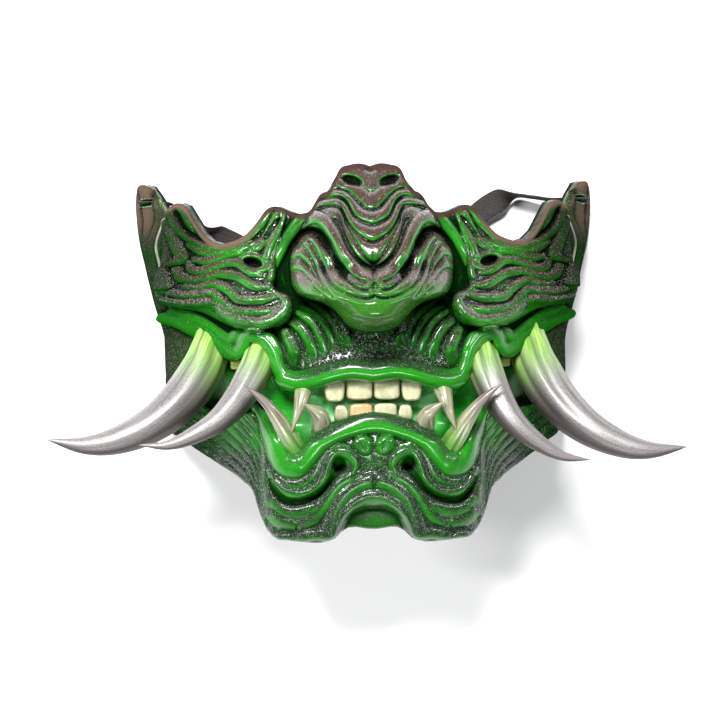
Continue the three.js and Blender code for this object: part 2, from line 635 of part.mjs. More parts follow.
const horns = [
  ...horn('outer_tusk', OUTER_TUSK, {
    diameter: OUTER_TUSK_DIAMETER, fullness: 2.4, neck: 0.84, turn: OUTER_TUSK_TURN, steps: 11,
  }),
  ...horn('inner_tusk', INNER_TUSK, {
    diameter: INNER_TUSK_DIAMETER, fullness: 1.6, neck: 0.92, turn: INNER_TUSK_TURN, steps: 10,
  }),
  ...horn('lower_fang', LOWER_FANG, { diameter: LOWER_FANG_DIAMETER, fullness: 1.4, steps: 8 }),
  ...horn('small_lower_fang', SMALL_FANG, { diameter: SMALL_FANG_DIAMETER, fullness: 2.2, steps: 6 }),
  ...horn('upper_fang', UPPER_FANG, { diameter: UPPER_FANG_DIAMETER, fullness: 1.4, steps: 6 }),
];

const MOLAR_SIZE = [MOLAR_DIAMETER, MOLAR_DIAMETER, MOLAR_DIAMETER];

// A row of teeth from the middle outwards, CLEARANCE apart, that grow down or up from a gum line as way tells
function toothRow(from, way, depth, row) {
  let reach = CLEARANCE / 2;
  return row.flatMap(({ name, width, height, out, point }) => {
    const across = reach + width / 2;
    reach += width + CLEARANCE;
    const size = [width, height, depth];
    return bothSides(name, (s) => ({ at: [s * across, from + (way * height) / 2, out], size, way, point }));
  });
}

const teeth = [
  ...toothRow(UPPER_GUM, -1, INCISOR_DEPTH, [
    { name: 'upper_central_incisor', width: 10.6, height: 9, out: INCISOR_LEVEL },
    { name: 'upper_lateral_incisor', width: 8.6, height: 9.6, out: INCISOR_LEVEL - 0.4, point: 0.2 },
  ]),
  ...toothRow(LOWER_GUM, 1, INCISOR_DEPTH - 1, [
    { name: 'lower_central_incisor', width: 9.4, height: 6.8, out: INCISOR_LEVEL - 0.4 },
    { name: 'lower_lateral_incisor', width: 6, height: 6.2, out: INCISOR_LEVEL - 1, point: 0.3 },
  ]),
  ...bothSides('side_molar', (s) => ({ at: [s * MOLAR_ACROSS, -0.4, 66], size: MOLAR_SIZE, way: -1 })),
];

// Joins and cuts
function solid(geometry) {
  const bare = geometry.clone();
  bare.deleteAttribute('normal');
  bare.deleteAttribute('uv');
  const merged = mergeVertices(bare, 1e-4);
  const mesh = new wasm.Mesh({
    numProp: 3,
    vertProperties: new Float32Array(merged.attributes.position.array),
    triVerts: new Uint32Array(merged.index.array),
  });
  return new wasm.Manifold(mesh);
}

function bufferOf(body) {
  const { vertProperties, triVerts } = body.getMesh();
  const geometry = new THREE.BufferGeometry();
  geometry.setAttribute('position', new THREE.Float32BufferAttribute(vertProperties, 3));
  geometry.setIndex([...triVerts]);
  return geometry;
}

const mask = new THREE.Group();

function add(name, geometry, colour, roughness, metalness = 0) {
  geometry.computeVertexNormals();
  const material = new THREE.MeshStandardMaterial({ color: colour, roughness, metalness });
  const mesh = new THREE.Mesh(geometry, material);
  mesh.name = name;
  mask.add(mesh);
}

let shell = solid(shellGeometry());
for (const horn of horns) shell = shell.subtract(solid(hornGeometry(horn, CLEARANCE)));
for (const tooth of teeth) shell = shell.subtract(solid(toothGeometry(tooth, CLEARANCE)));
for (const side of [1, -1]) shell = shell.subtract(solid(slotGeometry(side)));

add('mask_shell', bufferOf(shell), GREEN, 0.3);
for (const piece of horns) {
  add(piece.name, hornGeometry(piece), piece.name.includes('tusk') ? SILVER : IVORY, 0.35, 0.1);
}
for (const tooth of teeth) add(tooth.name, toothGeometry(tooth), IVORY, 0.35);
add('elastic_strap', strapGeometry(), BLACK, 0.9);

// The origin is under the middle of the whole
const box = new THREE.Box3().setFromObject(mask);
const middle = box.getCenter(new THREE.Vector3());
mask.position.set(-middle.x, -middle.y, -box.min.z);

export default mask;
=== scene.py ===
import math

import bpy
import numpy as np
from mathutils import Matrix, Vector


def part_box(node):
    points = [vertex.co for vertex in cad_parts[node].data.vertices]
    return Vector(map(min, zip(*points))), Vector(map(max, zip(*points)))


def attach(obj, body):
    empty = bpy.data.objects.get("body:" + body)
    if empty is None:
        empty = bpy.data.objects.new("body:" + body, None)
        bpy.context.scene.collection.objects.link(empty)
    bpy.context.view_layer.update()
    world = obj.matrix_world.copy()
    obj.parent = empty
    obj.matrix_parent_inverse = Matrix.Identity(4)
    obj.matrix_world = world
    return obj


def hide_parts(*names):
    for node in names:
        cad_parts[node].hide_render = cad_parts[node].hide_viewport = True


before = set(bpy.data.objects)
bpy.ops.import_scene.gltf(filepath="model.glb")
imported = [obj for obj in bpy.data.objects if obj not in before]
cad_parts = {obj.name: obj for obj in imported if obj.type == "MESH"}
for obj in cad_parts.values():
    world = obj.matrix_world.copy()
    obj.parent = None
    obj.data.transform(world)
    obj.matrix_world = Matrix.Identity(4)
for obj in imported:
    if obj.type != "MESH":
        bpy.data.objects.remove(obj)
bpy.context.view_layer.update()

# Sizes, in millimetres as in the part's source; MM turns them to metres
MM = 0.001
WALL = 4.5
EYE_LEVEL = 990
DRAWN_LEVEL = 90
OUTER_TUSK_DIAMETER = 18.4
INNER_TUSK_DIAMETER = 14.5
LOWER_FANG_DIAMETER = 9
SMALL_FANG_DIAMETER = 8.4
UPPER_FANG_DIAMETER = 8.4
INCISOR_DEPTH = 7
MOLAR_DIAMETER = 6
STRAP_WIDTH = 10
STRAP_THICKNESS = 1.2
SLOT_SLACK = 0.7
SLOT_LEVEL = 9.5
SLOT_HEIGHT = 63.6
SLOT_ACROSS = 86
SLOT_REACH = 10
OUTER_TUSK_TURN = 2.6
INNER_TUSK_TURN = 4.9
EDGE_ROUND = 1.6

# Mesh steps of the shell: columns on one half, and rows
COLUMNS, ROWS = ((330, 400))
INNER_COLUMNS, INNER_ROWS = 30, 24

# How many places round a point of the inside are looked at for low carving, and how far off they are in turn
PROBES = 16
PROBE_REACH = (8, 4)

# The shell's most triangles
MOST_FACES = 190000

QUARTER = math.pi / 2


def smooth(a, b, x):
    t = np.clip((x - a) / (b - a), 0, 1)
    return t * t * (3 - 2 * t)


def mix(a, b, t):
    return a + (b - a) * t


def knots(table, x):
    """A smooth reading of a table of (at, value) pairs."""
    at, value = (np.array(c, float) for c in zip(*table))
    slope = np.gradient(value, at)
    i = np.clip(np.searchsorted(at, x) - 1, 0, len(at) - 2)
    step = at[i + 1] - at[i]
    t = np.clip((x - at[i]) / step, 0, 1)
    rise = value[i] * (2 * t**3 - 3 * t**2 + 1) + value[i + 1] * (3 * t**2 - 2 * t**3)
    lean = slope[i] * (t**3 - 2 * t**2 + t) + slope[i + 1] * (t**3 - t**2)
    return rise + step * lean


def curve(points, closed=False, steps=6):
    """Points along a smooth line through the given ones."""
    p = np.array(points, float)
    ends = [p[-1:], p, p[:2]] if closed else [2 * p[:1] - p[1:2], p, 2 * p[-1:] - p[-2:-1]]
    p = np.vstack(ends)
    spans = []
    for a, b, c, d in zip(p, p[1:], p[2:], p[3:]):
        t = np.linspace(0, 1, steps, endpoint=False)[:, None]
        bend = (2 * a - 5 * b + 4 * c - d) * t**2 + (3 * b - a - 3 * c + d) * t**3
        spans.append(0.5 * (2 * b + (c - a) * t + bend))
    spans.append(p[-2][None] if not closed else spans[0][:1])
    return np.vstack(spans)


def near(line, u, v):
    """Distance to a line, and the share of its length at the nearest place."""
    best = np.full(u.shape, 1e9)
    share = np.zeros(u.shape)
    for i, (a, b) in enumerate(zip(line[:-1], line[1:])):
        d = b - a
        t = np.clip(((u - a[0]) * d[0] + (v - a[1]) * d[1]) / max(d @ d, 1e-9), 0, 1)
        away = np.hypot(u - a[0] - t * d[0], v - a[1] - t * d[1])
        closer = away < best
        best = np.where(closer, away, best)
        share = np.where(closer, (i + t) / (len(line) - 1), share)
    return best, share


def inside(points, u, v):
    """Distance into a closed outline, below zero outside it."""
    loop = curve(points, closed=True, steps=4)
    away, _ = near(loop, u, v)
    odd = np.zeros(u.shape, bool)
    for a, b in zip(loop[:-1], loop[1:]):
        if a[1] != b[1]:
            across = (b[0] - a[0]) * (v - a[1]) / (b[1] - a[1]) + a[0]
            odd ^= ((a[1] > v) != (b[1] > v)) & (u < across)
    return np.where(odd, away, -away)


def ellipse(u, v, centre, radii, turn=0.0):
    """0 at an ellipse's centre and 1 on its edge."""
    a = math.radians(turn)
    x, y = u - centre[0], v - centre[1]
    along = (x * math.cos(a) + y * math.sin(a)) / radii[0]
    return np.hypot(along, (y * math.cos(a) - x * math.sin(a)) / radii[1])


def dome(e):
    return np.sqrt(np.clip(1 - e * e, 0, 1))


# The plain curved face under the carving: half width and crown height by V
HALF_WIDTH = [
    (-72, 68), (-50, 72), (-28, 75.5), (-8, 78.5), (10, 79), (23, 82.5), (38, 86), (55, 89.5), (80, 90),
]
CROWN = [(-72, 82), (-60, 88), (-45, 93), (-20, 97), (0, 98), (20, 98), (40, 96), (60, 92), (78, 84)]
FULLNESS = 2.2
EAR_FLARE = 6.5
FLARE_DEPTH = 20
EAR_TOP = SLOT_HEIGHT + 7.2

# The shell's edges by U, and behind the eye by the angle round the face, where the ear flap stands
TOP_EDGE = [
    (0, 77.6), (3, 78.6), (8, 78.2), (12.5, 76), (15.5, 69.5), (20.5, 66), (24.4, 60), (27, 58.8),
    (31, 59.2), (34, 60.4), (37.5, 61.8), (41.5, 60.6), (45.5, 55.5), (50, 50.6), (55, 48), (60.5, 47.2),
    (66, 50), (70, 56), (72.5, 61), (76.3, 63.4), (79.5, 61.5),
]
TOP_BEHIND = [
    (62, 61.5), (66, 58.6), (74, 58), (77.5, EAR_TOP - 10.2), (79.5, EAR_TOP - 9.2), (81, EAR_TOP - 7.2),
    (82.6, EAR_TOP - 3.4), (85, EAR_TOP - 1.2), (87.6, EAR_TOP), (90, EAR_TOP),
]
BOTTOM_EDGE = [
    (0, -67.6), (13.5, -68.6), (16, -71), (20, -72.6), (28, -72.6), (34, -71.8), (39.5, -70.5), (43, -66),
    (45.5, -60), (47.5, -53), (51.5, -48), (60, -41.5), (69, -34.5), (75.5, -28), (90, -26),
]

# Outlines of the raised and sunk areas
NOSE_HALF = [
    (11, 0), (11.5, 5), (12.4, 8.3), (14.4, 11.6), (17.2, 14.2), (20.8, 17.6), (23, 21.4), (24.6, 26.4),
    (26.2, 29.8), (28.6, 31.8), (34, 33), (42, 33), (49, 30.5), (55, 26.5), (60, 24.6), (66, 21),
    (70, 16), (78, 13), (80, 12),
]
NOSE_RISE = [
    (11, 12), (15, 24), (22, 29), (30, 25), (37, 17), (42, 17), (50, 15), (57, 11), (62, 8), (70, 4),
    (78, 0),
]
CHEEK_PLATE = [
    (81, 58), (78, 66), (60, 66), (36, 66), (33.5, 60), (36, 50), (38.5, 42), (38, 34), (38.5, 29),
    (33, 26), (31.6, 20), (34, 15.5), (40, 12.4), (47, 11.4), (55, 13), (61, 16.2), (67, 19.4),
    (73, 20.5), (79, 24), (81, 30), (81.5, 45),
]
MOUTH = [
    (-8, -8), (0, -8.2), (9, -7.4), (17, -8.6), (25, -11), (31, -12.2), (36.8, -11), (39.8, -5),
    (41.6, 2), (45, 7), (50, 7), (51.6, 2.5), (54.4, 0.2), (58, 1.6), (64, 6.4), (70, 10.4), (73, 4),
    (73, -6), (70, -15), (64, -19), (56, -20), (49, -20.5), (44, -21.5), (41, -28), (38.4, -34),
    (35.4, -37), (32, -36.6), (28, -33), (22, -28), (14, -24.4), (7, -22.6), (0, -21.8), (-8, -22.6),
]
CHIN_HOLLOW = [(-14, -90), (-14, -63), (0, -57.6), (9.4, -60), (14.6, -66), (16.4, -74), (16, -90)]
MOUTH_DEPTH = 10.5

# Lines of the carved ridges and grooves. MOUSTACHE_RIDGES has a ridge's half width before its line, and
# JAW_RIDGES only the first and the last line, with the others evenly between them
INNER_LOBE_RIDGES = [
    [(33.6, 58), (37.6, 50.5), (41, 44.5), (42.4, 38.5)],
    [(38, 58), (40.6, 51.6), (44.2, 46.6), (48, 44)],
]
CHEEK_CRESTS = [
    [(68.8, 53.6), (64.4, 48.8), (60.4, 46.8), (54.8, 47.6), (50.4, 49.2), (44.8, 54.4), (39.6, 60.8)],
    [(71.6, 46.8), (65.6, 43.6), (58.8, 44), (51.6, 45.2), (45.6, 48)],
    [(69.6, 40.8), (64.8, 40.4), (62.4, 41.2), (57.6, 42.8), (53.6, 43.6), (49, 44)],
    [
        (71.6, 39.2), (70.4, 36.8), (67.6, 36), (63.6, 37.6), (58.8, 39.2), (53.6, 39.4), (49.6, 36.6),
        (46.8, 35.2), (44.4, 34.4),
    ],
    [
        (74.8, 36.8), (73.2, 34), (70.4, 32.8), (65.6, 33.6), (61.6, 35.2), (54.8, 34.4), (50.8, 32.4),
        (47.6, 30.4), (44.4, 29.6), (41.2, 29.6),
    ],
    [
        (71.6, 30), (67.6, 30), (63.6, 31.2), (60.4, 30.4), (56.4, 28), (53.2, 24.8), (47.6, 24.4),
        (42.8, 24.8), (38.8, 25.6),
    ],
    [
        (74.8, 27.6), (72.4, 26.8), (67.6, 27.2), (63.6, 27.6), (61.2, 25.6), (58.4, 22.4), (54.8, 20.4),
        (49.6, 19.6), (44.4, 19.6), (40.4, 20.4), (37.2, 22.4),
    ],
    [(77.2, 24), (73.2, 23.2), (68.4, 23.6), (65.2, 24), (62.8, 21.6)],
    [(78.8, 55.2), (77.2, 50), (75.6, 46), (74, 41.6), (77.2, 39.2)],
    [(79.2, 36.8), (78, 32), (77.2, 28)],
]
LOBE_ROLL = [
    (63.2, 26), (60.4, 21.6), (56.4, 18), (51.6, 16), (46, 15.2), (40.4, 16.4), (36.4, 19.2), (34, 22.4),
    (34, 25.2), (36.8, 27.6), (39.6, 28.8),
]
LOBE_RIDGE = [
    (78.4, 59.6), (76.4, 54.4), (73.6, 50.8), (69.6, 48), (64.8, 45.6), (57.6, 46.4), (49.6, 48.8),
    (45.6, 52),
]
LOBE_GROOVE = [(77, 60.5), (75.4, 57.5), (73.4, 53.4), (70, 50), (66, 47.6)]
TOP_GROOVE = [(36.4, 56.8), (38.8, 54.4), (41.2, 50.8), (42.8, 48)]
MOUSTACHE_RIDGES = [
    (2.9, [(44.8, 10.8), (42, 9.6), (40, 6.8), (38.4, 3.2), (37.6, -0.8), (37.2, -4.8)]),
    (2.9, [(34.8, 11.6), (33.2, 8.8), (32, 6), (31.6, 3.2), (32.8, 0), (34.4, -2.4)]),
    (2.5, [(32, 15.2), (28.8, 13.2), (26.4, 10), (24.8, 6.8), (24.2, 3.2), (25.8, 0)]),
    (2, [(30, 19.2), (26, 16.8), (22.8, 13.2), (20.8, 8.8), (20, 4.8), (20.4, 1.4)]),
    (1.8, [(28, 21.2), (23.2, 18.8), (19.4, 15), (17.2, 11), (16.2, 7.4), (16.2, 3.8)]),
    (1.7, [(24.4, 22.8), (19.6, 19.8), (16, 16), (13.8, 12), (12.8, 8.4), (13, 5.2)]),
    (1.6, [(16.8, 19.2), (12.8, 14.8), (10.6, 11), (9.6, 7.8), (9.6, 5.4)]),
]
JAW_RIDGES = [
    [(76.5, -27.5), (69.5, -33), (60.8, -39.6), (53, -46), (49.4, -52), (47.4, -60), (46, -68)],
    [(64, -8), (56, -14), (48.6, -21.5), (43.8, -29), (42.2, -38), (42.4, -48), (42, -60)],
]
UPPER_LIP = [(-6, -4.4), (0, -4.8), (9, -3.8), (17, -5.2), (25, -7.4), (31, -8.2), (35.2, -7)]
DRAPE = [
    (35.2, -7), (37.6, -3), (39, 1.5), (40.6, 5.2), (43.6, 8.8), (47.4, 10), (50.6, 9), (52, 5.4),
    (54.4, 3), (57.6, 4.4), (62, 8), (67, 11.6), (73, 15.2), (78, 17.6),
]
DRAPE_FOLD = [(50.4, 12.4), (54, 10.2), (57, 8.6), (60.6, 10.6), (66, 14.4), (72, 18), (77, 20)]
LOWER_LIP = [
    (-8, -26.2), (0, -25), (8, -26.2), (16, -29), (22, -33), (26.8, -38.6), (31, -42.8), (35.4, -41.8),
    (38.2, -36.6), (40.2, -30), (43, -24), (46.4, -19),
]
CHIN_BAND = [
    (11, -34.8), (15, -34.4), (19, -35.6), (21.8, -38.4), (23.4, -42), (25, -45.6), (27.8, -48.4),
    (31.8, -49.6), (35.8, -48.8), (39, -46),
]
VOLUTE = [
    (8.6, -44.8), (7.4, -42), (8.2, -39.2), (10.6, -37.2), (13.4, -36.4), (16.2, -37.2), (18.2, -40),
    (19.4, -43.2), (20.6, -47.2), (23, -50.4), (27, -52.8), (31.4, -53.2), (36.2, -51.6), (39.4, -48.4),
    (41, -44),
]
VOLUTE_GROOVE = [
    (13.8, -43.2), (16.6, -47.2), (19, -50.4), (23, -53.6), (28.2, -56), (33.4, -56.4), (37, -54.8),
    (39.4, -51.6), (41, -47.6),
]
CHIN_FLOWS = [
    [
        (21, -56), (23, -58.8), (27, -60), (31.4, -60.8), (35.4, -60.4), (38.6, -58.4), (40.6, -55.2),
        (41.8, -51.2),
    ],
    [(30.2, -64.4), (33.4, -64.8), (36.6, -64), (39.4, -61.6), (41.4, -58)],
    [(6.2, -45.6), (10.2, -47.4), (14.2, -50), (17.4, -53.6), (20.6, -58.4), (24.6, -63.2), (29, -66.4)],
]
CHIN_ARCS = [
    [
        (-5, -49.2), (0.2, -48.4), (4.2, -49.2), (7.8, -50.8), (11, -53.2), (13.8, -56.4), (15.8, -60.4),
        (17, -64.8), (17.8, -68.8),
    ],
    [
        (-5, -55.2), (0.2, -54.4), (4.6, -55.2), (8.2, -57.2), (10.6, -59.6), (12.6, -62.8),
        (14.2, -66.4), (15.4, -70),
    ],
]
PADS = [
    [(31, -72), (28.2, -70.4), (23.8, -69.6), (19.4, -70), (15.8, -71.6)],
    [(39.4, -72), (36.2, -70.8), (33, -71.6)],
]

# Valleys of the nose, each with its half width, depth and line from outside to the middle
NOSE_VALLEYS = [
    (2, 1.6, [(11.8, 70.2), (7, 70.8), (3, 69.3), (0, 67.4), (-3.5, 69.6)]),
    (2.6, 2.8, [
        (23.5, 63.2), (19.8, 66.5), (15.1, 68.3), (11.1, 68.3), (8.1, 66.3), (5.8, 63.7), (3.1, 61),
        (0, 60), (-3.5, 61.2),
    ]),
    (2.8, 3.4, [
        (24.3, 61), (20.5, 64), (16.5, 65.2), (12.8, 65.2), (9.8, 63), (8.1, 59.3), (6.5, 57), (3.1, 55),
        (0, 54.1), (-4.2, 55.2),
    ]),
    (2.6, 3.4, [
        (24.3, 59.2), (20.5, 60.9), (15.8, 61.9), (12.5, 60.7), (10.8, 57.3), (9.1, 54), (6.5, 50.7),
        (3.1, 48.3), (0, 47.3), (-4.2, 48.7),
    ]),
    (2, 2.8, [(11.7, 57.7), (10.1, 54), (7.8, 49.3), (5.5, 44.7), (2.5, 40.3), (0, 38)]),
    (2, 3.2, [(16.7, 57.6), (13.5, 54.7), (11.4, 49.7), (9.3, 44.7), (6.5, 40.7), (3.1, 38), (0.6, 37)]),
    (3, 5.5, [
        (36.1, 34.7), (35.8, 40), (33.1, 44.7), (29.8, 49.2), (25.8, 51.9), (21.8, 51.9), (19.1, 49.3),
        (16.5, 44.7), (14.5, 39.3), (12.3, 35), (9.7, 31.2),
    ]),
    (2.2, 3.2, [(14.5, 39.3), (12.3, 35), (9.7, 31.2), (6.5, 28.5), (2.7, 28.1), (0, 30.7)]),
    (2.8, 3.6, [
        (29.1, 47.2), (26.6, 48), (24.3, 46.5), (22.5, 42.5), (20.5, 38), (18.5, 33.3), (15.5, 29.2),
        (11.5, 26.5), (6.5, 24.9), (2.5, 24.7), (-0.5, 25.9),
    ]),
    (2.6, 3.2, [
        (31.3, 44.7), (28.3, 45.9), (25.8, 43.2), (23.8, 38.7), (22.3, 34.5), (20.5, 30.7), (18.1, 26.5),
        (15.1, 23.7),
    ]),
    (2.4, 2.8, [(33.7, 38), (29.8, 41.2), (27, 39.2), (24.5, 35.9), (22.1, 32.3)]),
    (2.2, 2.4, [(33.3, 35), (29.8, 36), (26.8, 34.3), (24.6, 31.3)]),
    (1.5, 2.8, [(24.3, 29.2), (21.1, 26.8), (17.8, 23), (16.3, 20.7)]),
    (2.6, 1, [(13.8, 20.7), (9.1, 17.6), (3.8, 16), (0, 15.3), (-4.2, 16)]),
    (2.6, 1, [(12.8, 15.7), (8.5, 13.3), (3.8, 11.9), (0, 11.2), (-4.2, 11.9)]),
]
NOSE_ARCH = [
    (2.4, 29.4), (1.2, 31.6), (2.2, 33.8), (5.8, 35.4), (9, 38), (12.6, 43), (15.6, 49.6), (18.8, 55.6),
    (23.2, 57.4), (28.2, 55.4), (33, 50), (36.4, 44), (38.8, 38.4), (40.2, 33.2),
]
NOSE_TIP_GROOVE = [(0, 43), (0, 36), (0, 30), (0, 26)]
CHIN_NOTCH = [(0, -45.4), (0, -48), (0, -51.4)]
ARCH_HOLLOW = [(33.1, 43.5), (29.8, 48.6), (25.8, 51.2), (22.4, 50.6), (19.4, 47.4), (17, 42.6)]

# Ellipses, each with its centre, radii and turn
CHEEK_PIT = ((47.4, 39.4), (3.6, 1.9), 12)
LIP_CORNER = ((31.8, -41.8), (6.2, 5.6), 20)
CHIN_LEAF = ((4.5, -33.4), (3.7, 5), -24)

# Pits: depth, the shares of the ellipse where they begin and where they are deepest, and the ellipse
PITS = [
    (4.5, 1.15, 0.6, *CHEEK_PIT),
    (4.5, 1.15, 0.4, (13.8, -42), (3, 3.6), -25),
    (3.6, 1.2, 0.4, (7.3, 71.9), (4.6, 2), 16),
    (1.6, 1.1, 0.3, (0, 76), (2.2, 1.5), 0),
    (1.1, 1, 0.3, (4.2, -34.2), (1.3, 2.9), -24),
]

# Places of the tusks and fangs, from root to tip
OUTER_TUSK = [
    (62, 9.6, 57.5), (63.4, 5.6, 61), (67, -3.4, 67), (74.7, -15.2, 73), (86, -25.6, 79),
    (99.8, -32.6, 83), (113, -35.2, 86), (128.3, -33.4, 87),
]
INNER_TUSK = [
    (42.6, 5.6, 77), (43.9, 1.6, 81.5), (46.4, -5, 87), (51.4, -14.7, 92), (59, -24.5, 96),
    (69.5, -32, 98), (79.6, -36.5, 99), (90.6, -37.2, 99),
]
LOWER_FANG = [(29.6, -37, 88), (33.4, -31, 93), (38.4, -23, 98), (43.6, -16.4, 101.5), (52.2, -9.2, 103)]
SMALL_FANG = [(20.5, -31, 86), (20.6, -26.4, 93), (22, -21.6, 98.5), (27.6, -17.4, 102)]
UPPER_FANG = [(26.4, -7, 88), (28, -12.6, 94), (30, -20, 97.5), (33, -28.6, 98.5)]

# The strap's route, each point with whether its width stands upright
STRAP_ROUTE = [
    (-90, SLOT_HEIGHT, SLOT_LEVEL, 1), (-80, SLOT_HEIGHT, SLOT_LEVEL, 1), (-75, 61.8, 8.5, 1),
    (-69, 57.5, 6.5, 0), (-60, 51, 4, 0), (-48, 44.5, 1.4, 0), (-36, 33, 1.4, 0), (-24, 17, 1.4, 0),
    (-8, 3, 1.4, 0), (10, 2, 1.4, 0), (24, 14, 1.4, 0), (32, 33, 1.4, 0), (40, 51, 2.4, 0),
    (49, 60.5, 4.4, 0), (59, 65, 6.4, 0), (67, 64.6, 8, 0), (74, SLOT_HEIGHT, 9, 1),
    (82, SLOT_HEIGHT, SLOT_LEVEL, 1), (90, SLOT_HEIGHT, SLOT_LEVEL, 1),
]


def taper(z):
    return (EYE_LEVEL - z) / (EYE_LEVEL - DRAWN_LEVEL)


# The model lies where the CAD model does: the middle teeth's places give its shift along X and Y
TOOTH_V, TOOTH_Z = -11.4, 92
LEFT_TOOTH, RIGHT_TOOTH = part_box("upper_central_incisor_left"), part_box("upper_central_incisor_right")
SHIFT_X = (LEFT_TOOTH[1].x + RIGHT_TOOTH[0].x) / 2 / MM
SHIFT_Y = (RIGHT_TOOTH[0].y + RIGHT_TOOTH[1].y) / 2 / MM - TOOTH_V * taper(TOOTH_Z)


def place(u, v, z):
    """A point seen at U and V from in front, at its true place in the row frame, in metres."""
    k = taper(z)
    return np.stack([u * k + SHIFT_X, v * k + SHIFT_Y, z + 0 * k], axis=-1) * MM


# The camera and the strap
CAMERA_SIDE = -31.5
AIM = (-5, 0, DRAWN_LEVEL)
ROLL = math.radians(0.65)
PICTURE_WIDTH = 288
SENSOR = 36


def add_object(name, data):
    """A new object in the scene."""
    added = bpy.data.objects.new(name, data)
    bpy.context.scene.collection.objects.link(added)
    return added


def make_camera():
    data = bpy.data.cameras.new("camera")
    data.sensor_width = SENSOR
    data.lens = SENSOR * (EYE_LEVEL - DRAWN_LEVEL) / PICTURE_WIDTH
    camera = add_object("camera", data)
    camera.location = Vector((CAMERA_SIDE + SHIFT_X, SHIFT_Y, EYE_LEVEL)) * MM
    aim = Vector((AIM[0] + SHIFT_X, AIM[1] + SHIFT_Y, AIM[2])) * MM
    back = (camera.location - aim).normalized()
    up = Vector((math.sin(ROLL), math.cos(ROLL), 0))
    right = up.cross(back).normalized()
    camera.rotation_euler = Matrix((right, back.cross(right), back)).transposed().to_euler()
    bpy.context.scene.camera = camera


def make_mesh(name, points, faces, material, node):
    """A smooth-shaded piece from points in metres and rows of face corners."""
    mesh = bpy.data.meshes.new(name)
    mesh.from_pydata(points.tolist(), [], faces)
    mesh.update()
    mesh.shade_smooth()
    mesh.materials.append(material)
    piece = add_object(name, mesh)
    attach(piece, "root")
    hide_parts(node)
    return piece


def put(mesh, name, values):
    """A number on each point of a mesh, for its material."""
    layer = mesh.attributes.new(name, "FLOAT", "POINT")
    layer.data.foreach_set("value", np.asarray(values, np.float32).ravel())


def smooth_path(points, count):
    """Evenly spaced points on a smooth line through the given ones, and the line's directions there."""
    fine = curve(points, steps=24)
    along = np.concatenate([[0], np.cumsum(np.linalg.norm(np.diff(fine, axis=0), axis=1))])
    at = np.linspace(0, along[-1], count)
    line = np.stack([np.interp(at, along, fine[:, k]) for k in range(3)], axis=1)
    tangent = np.gradient(line, axis=0)
    return line, tangent / np.linalg.norm(tangent, axis=1)[:, None]


def unit(v):
    return v / np.maximum(np.linalg.norm(v, axis=-1, keepdims=True), 1e-12)


def tube(rings, sides, flip=False):
    """The faces between the rings of a tube's points."""
    faces = []
    for i in range(rings - 1):
        for k in range(sides):
            a, b = i * sides + k, i * sides + (k + 1) % sides
            faces.append((a, a + sides, b + sides, b) if flip else (a, b, b + sides, a + sides))
    return faces


STRAP_STEPS = 260
STRAP_RIBS = 11
RIB_DEPTH = 0.28


def make_strap(material):
    """Woven elastic with a rib along each cord of its weave, rounded at its edges."""
    route = np.array(STRAP_ROUTE, float)
    line, tangent = smooth_path(place(route[:, 0], route[:, 1], route[:, 2]), STRAP_STEPS)
    upright = np.interp(np.linspace(0, len(route) - 1, STRAP_STEPS), np.arange(len(route)), route[:, 3])
    turn = smooth(0, 1, upright)[:, None]
    wide = mix(np.array([[0.0, 1.0, 0.0]]), np.array([[0.0, 0.0, 1.0]]), turn)
    wide = unit(wide - (wide * tangent).sum(1)[:, None] * tangent)
    thick = np.cross(tangent, wide)
    across = np.linspace(-1, 1, 4 * STRAP_RIBS + 1)
    rib = 0.5 * (1 - np.cos((across + 1) * math.pi * STRAP_RIBS))
    lift = STRAP_THICKNESS / 2 * (1 - RIB_DEPTH + RIB_DEPTH * rib) * (1 - across**8 * 0.7)
    ring = np.concatenate([np.stack([across, lift], 1), np.stack([across[::-1], -lift[::-1]], 1)])
    n = len(ring)
    points = [
        c + w * STRAP_WIDTH / 2 * MM * ring[:, :1] + t * MM * ring[:, 1:]
        for c, w, t in zip(line, wide, thick)
    ]
    faces = tube(STRAP_STEPS, n)
    faces += [tuple(range(n))[::-1], tuple(range((STRAP_STEPS - 1) * n, STRAP_STEPS * n))]
    strap = make_mesh("strap_band", np.vstack(points), faces, material, "elastic_strap")


# The shell's carving


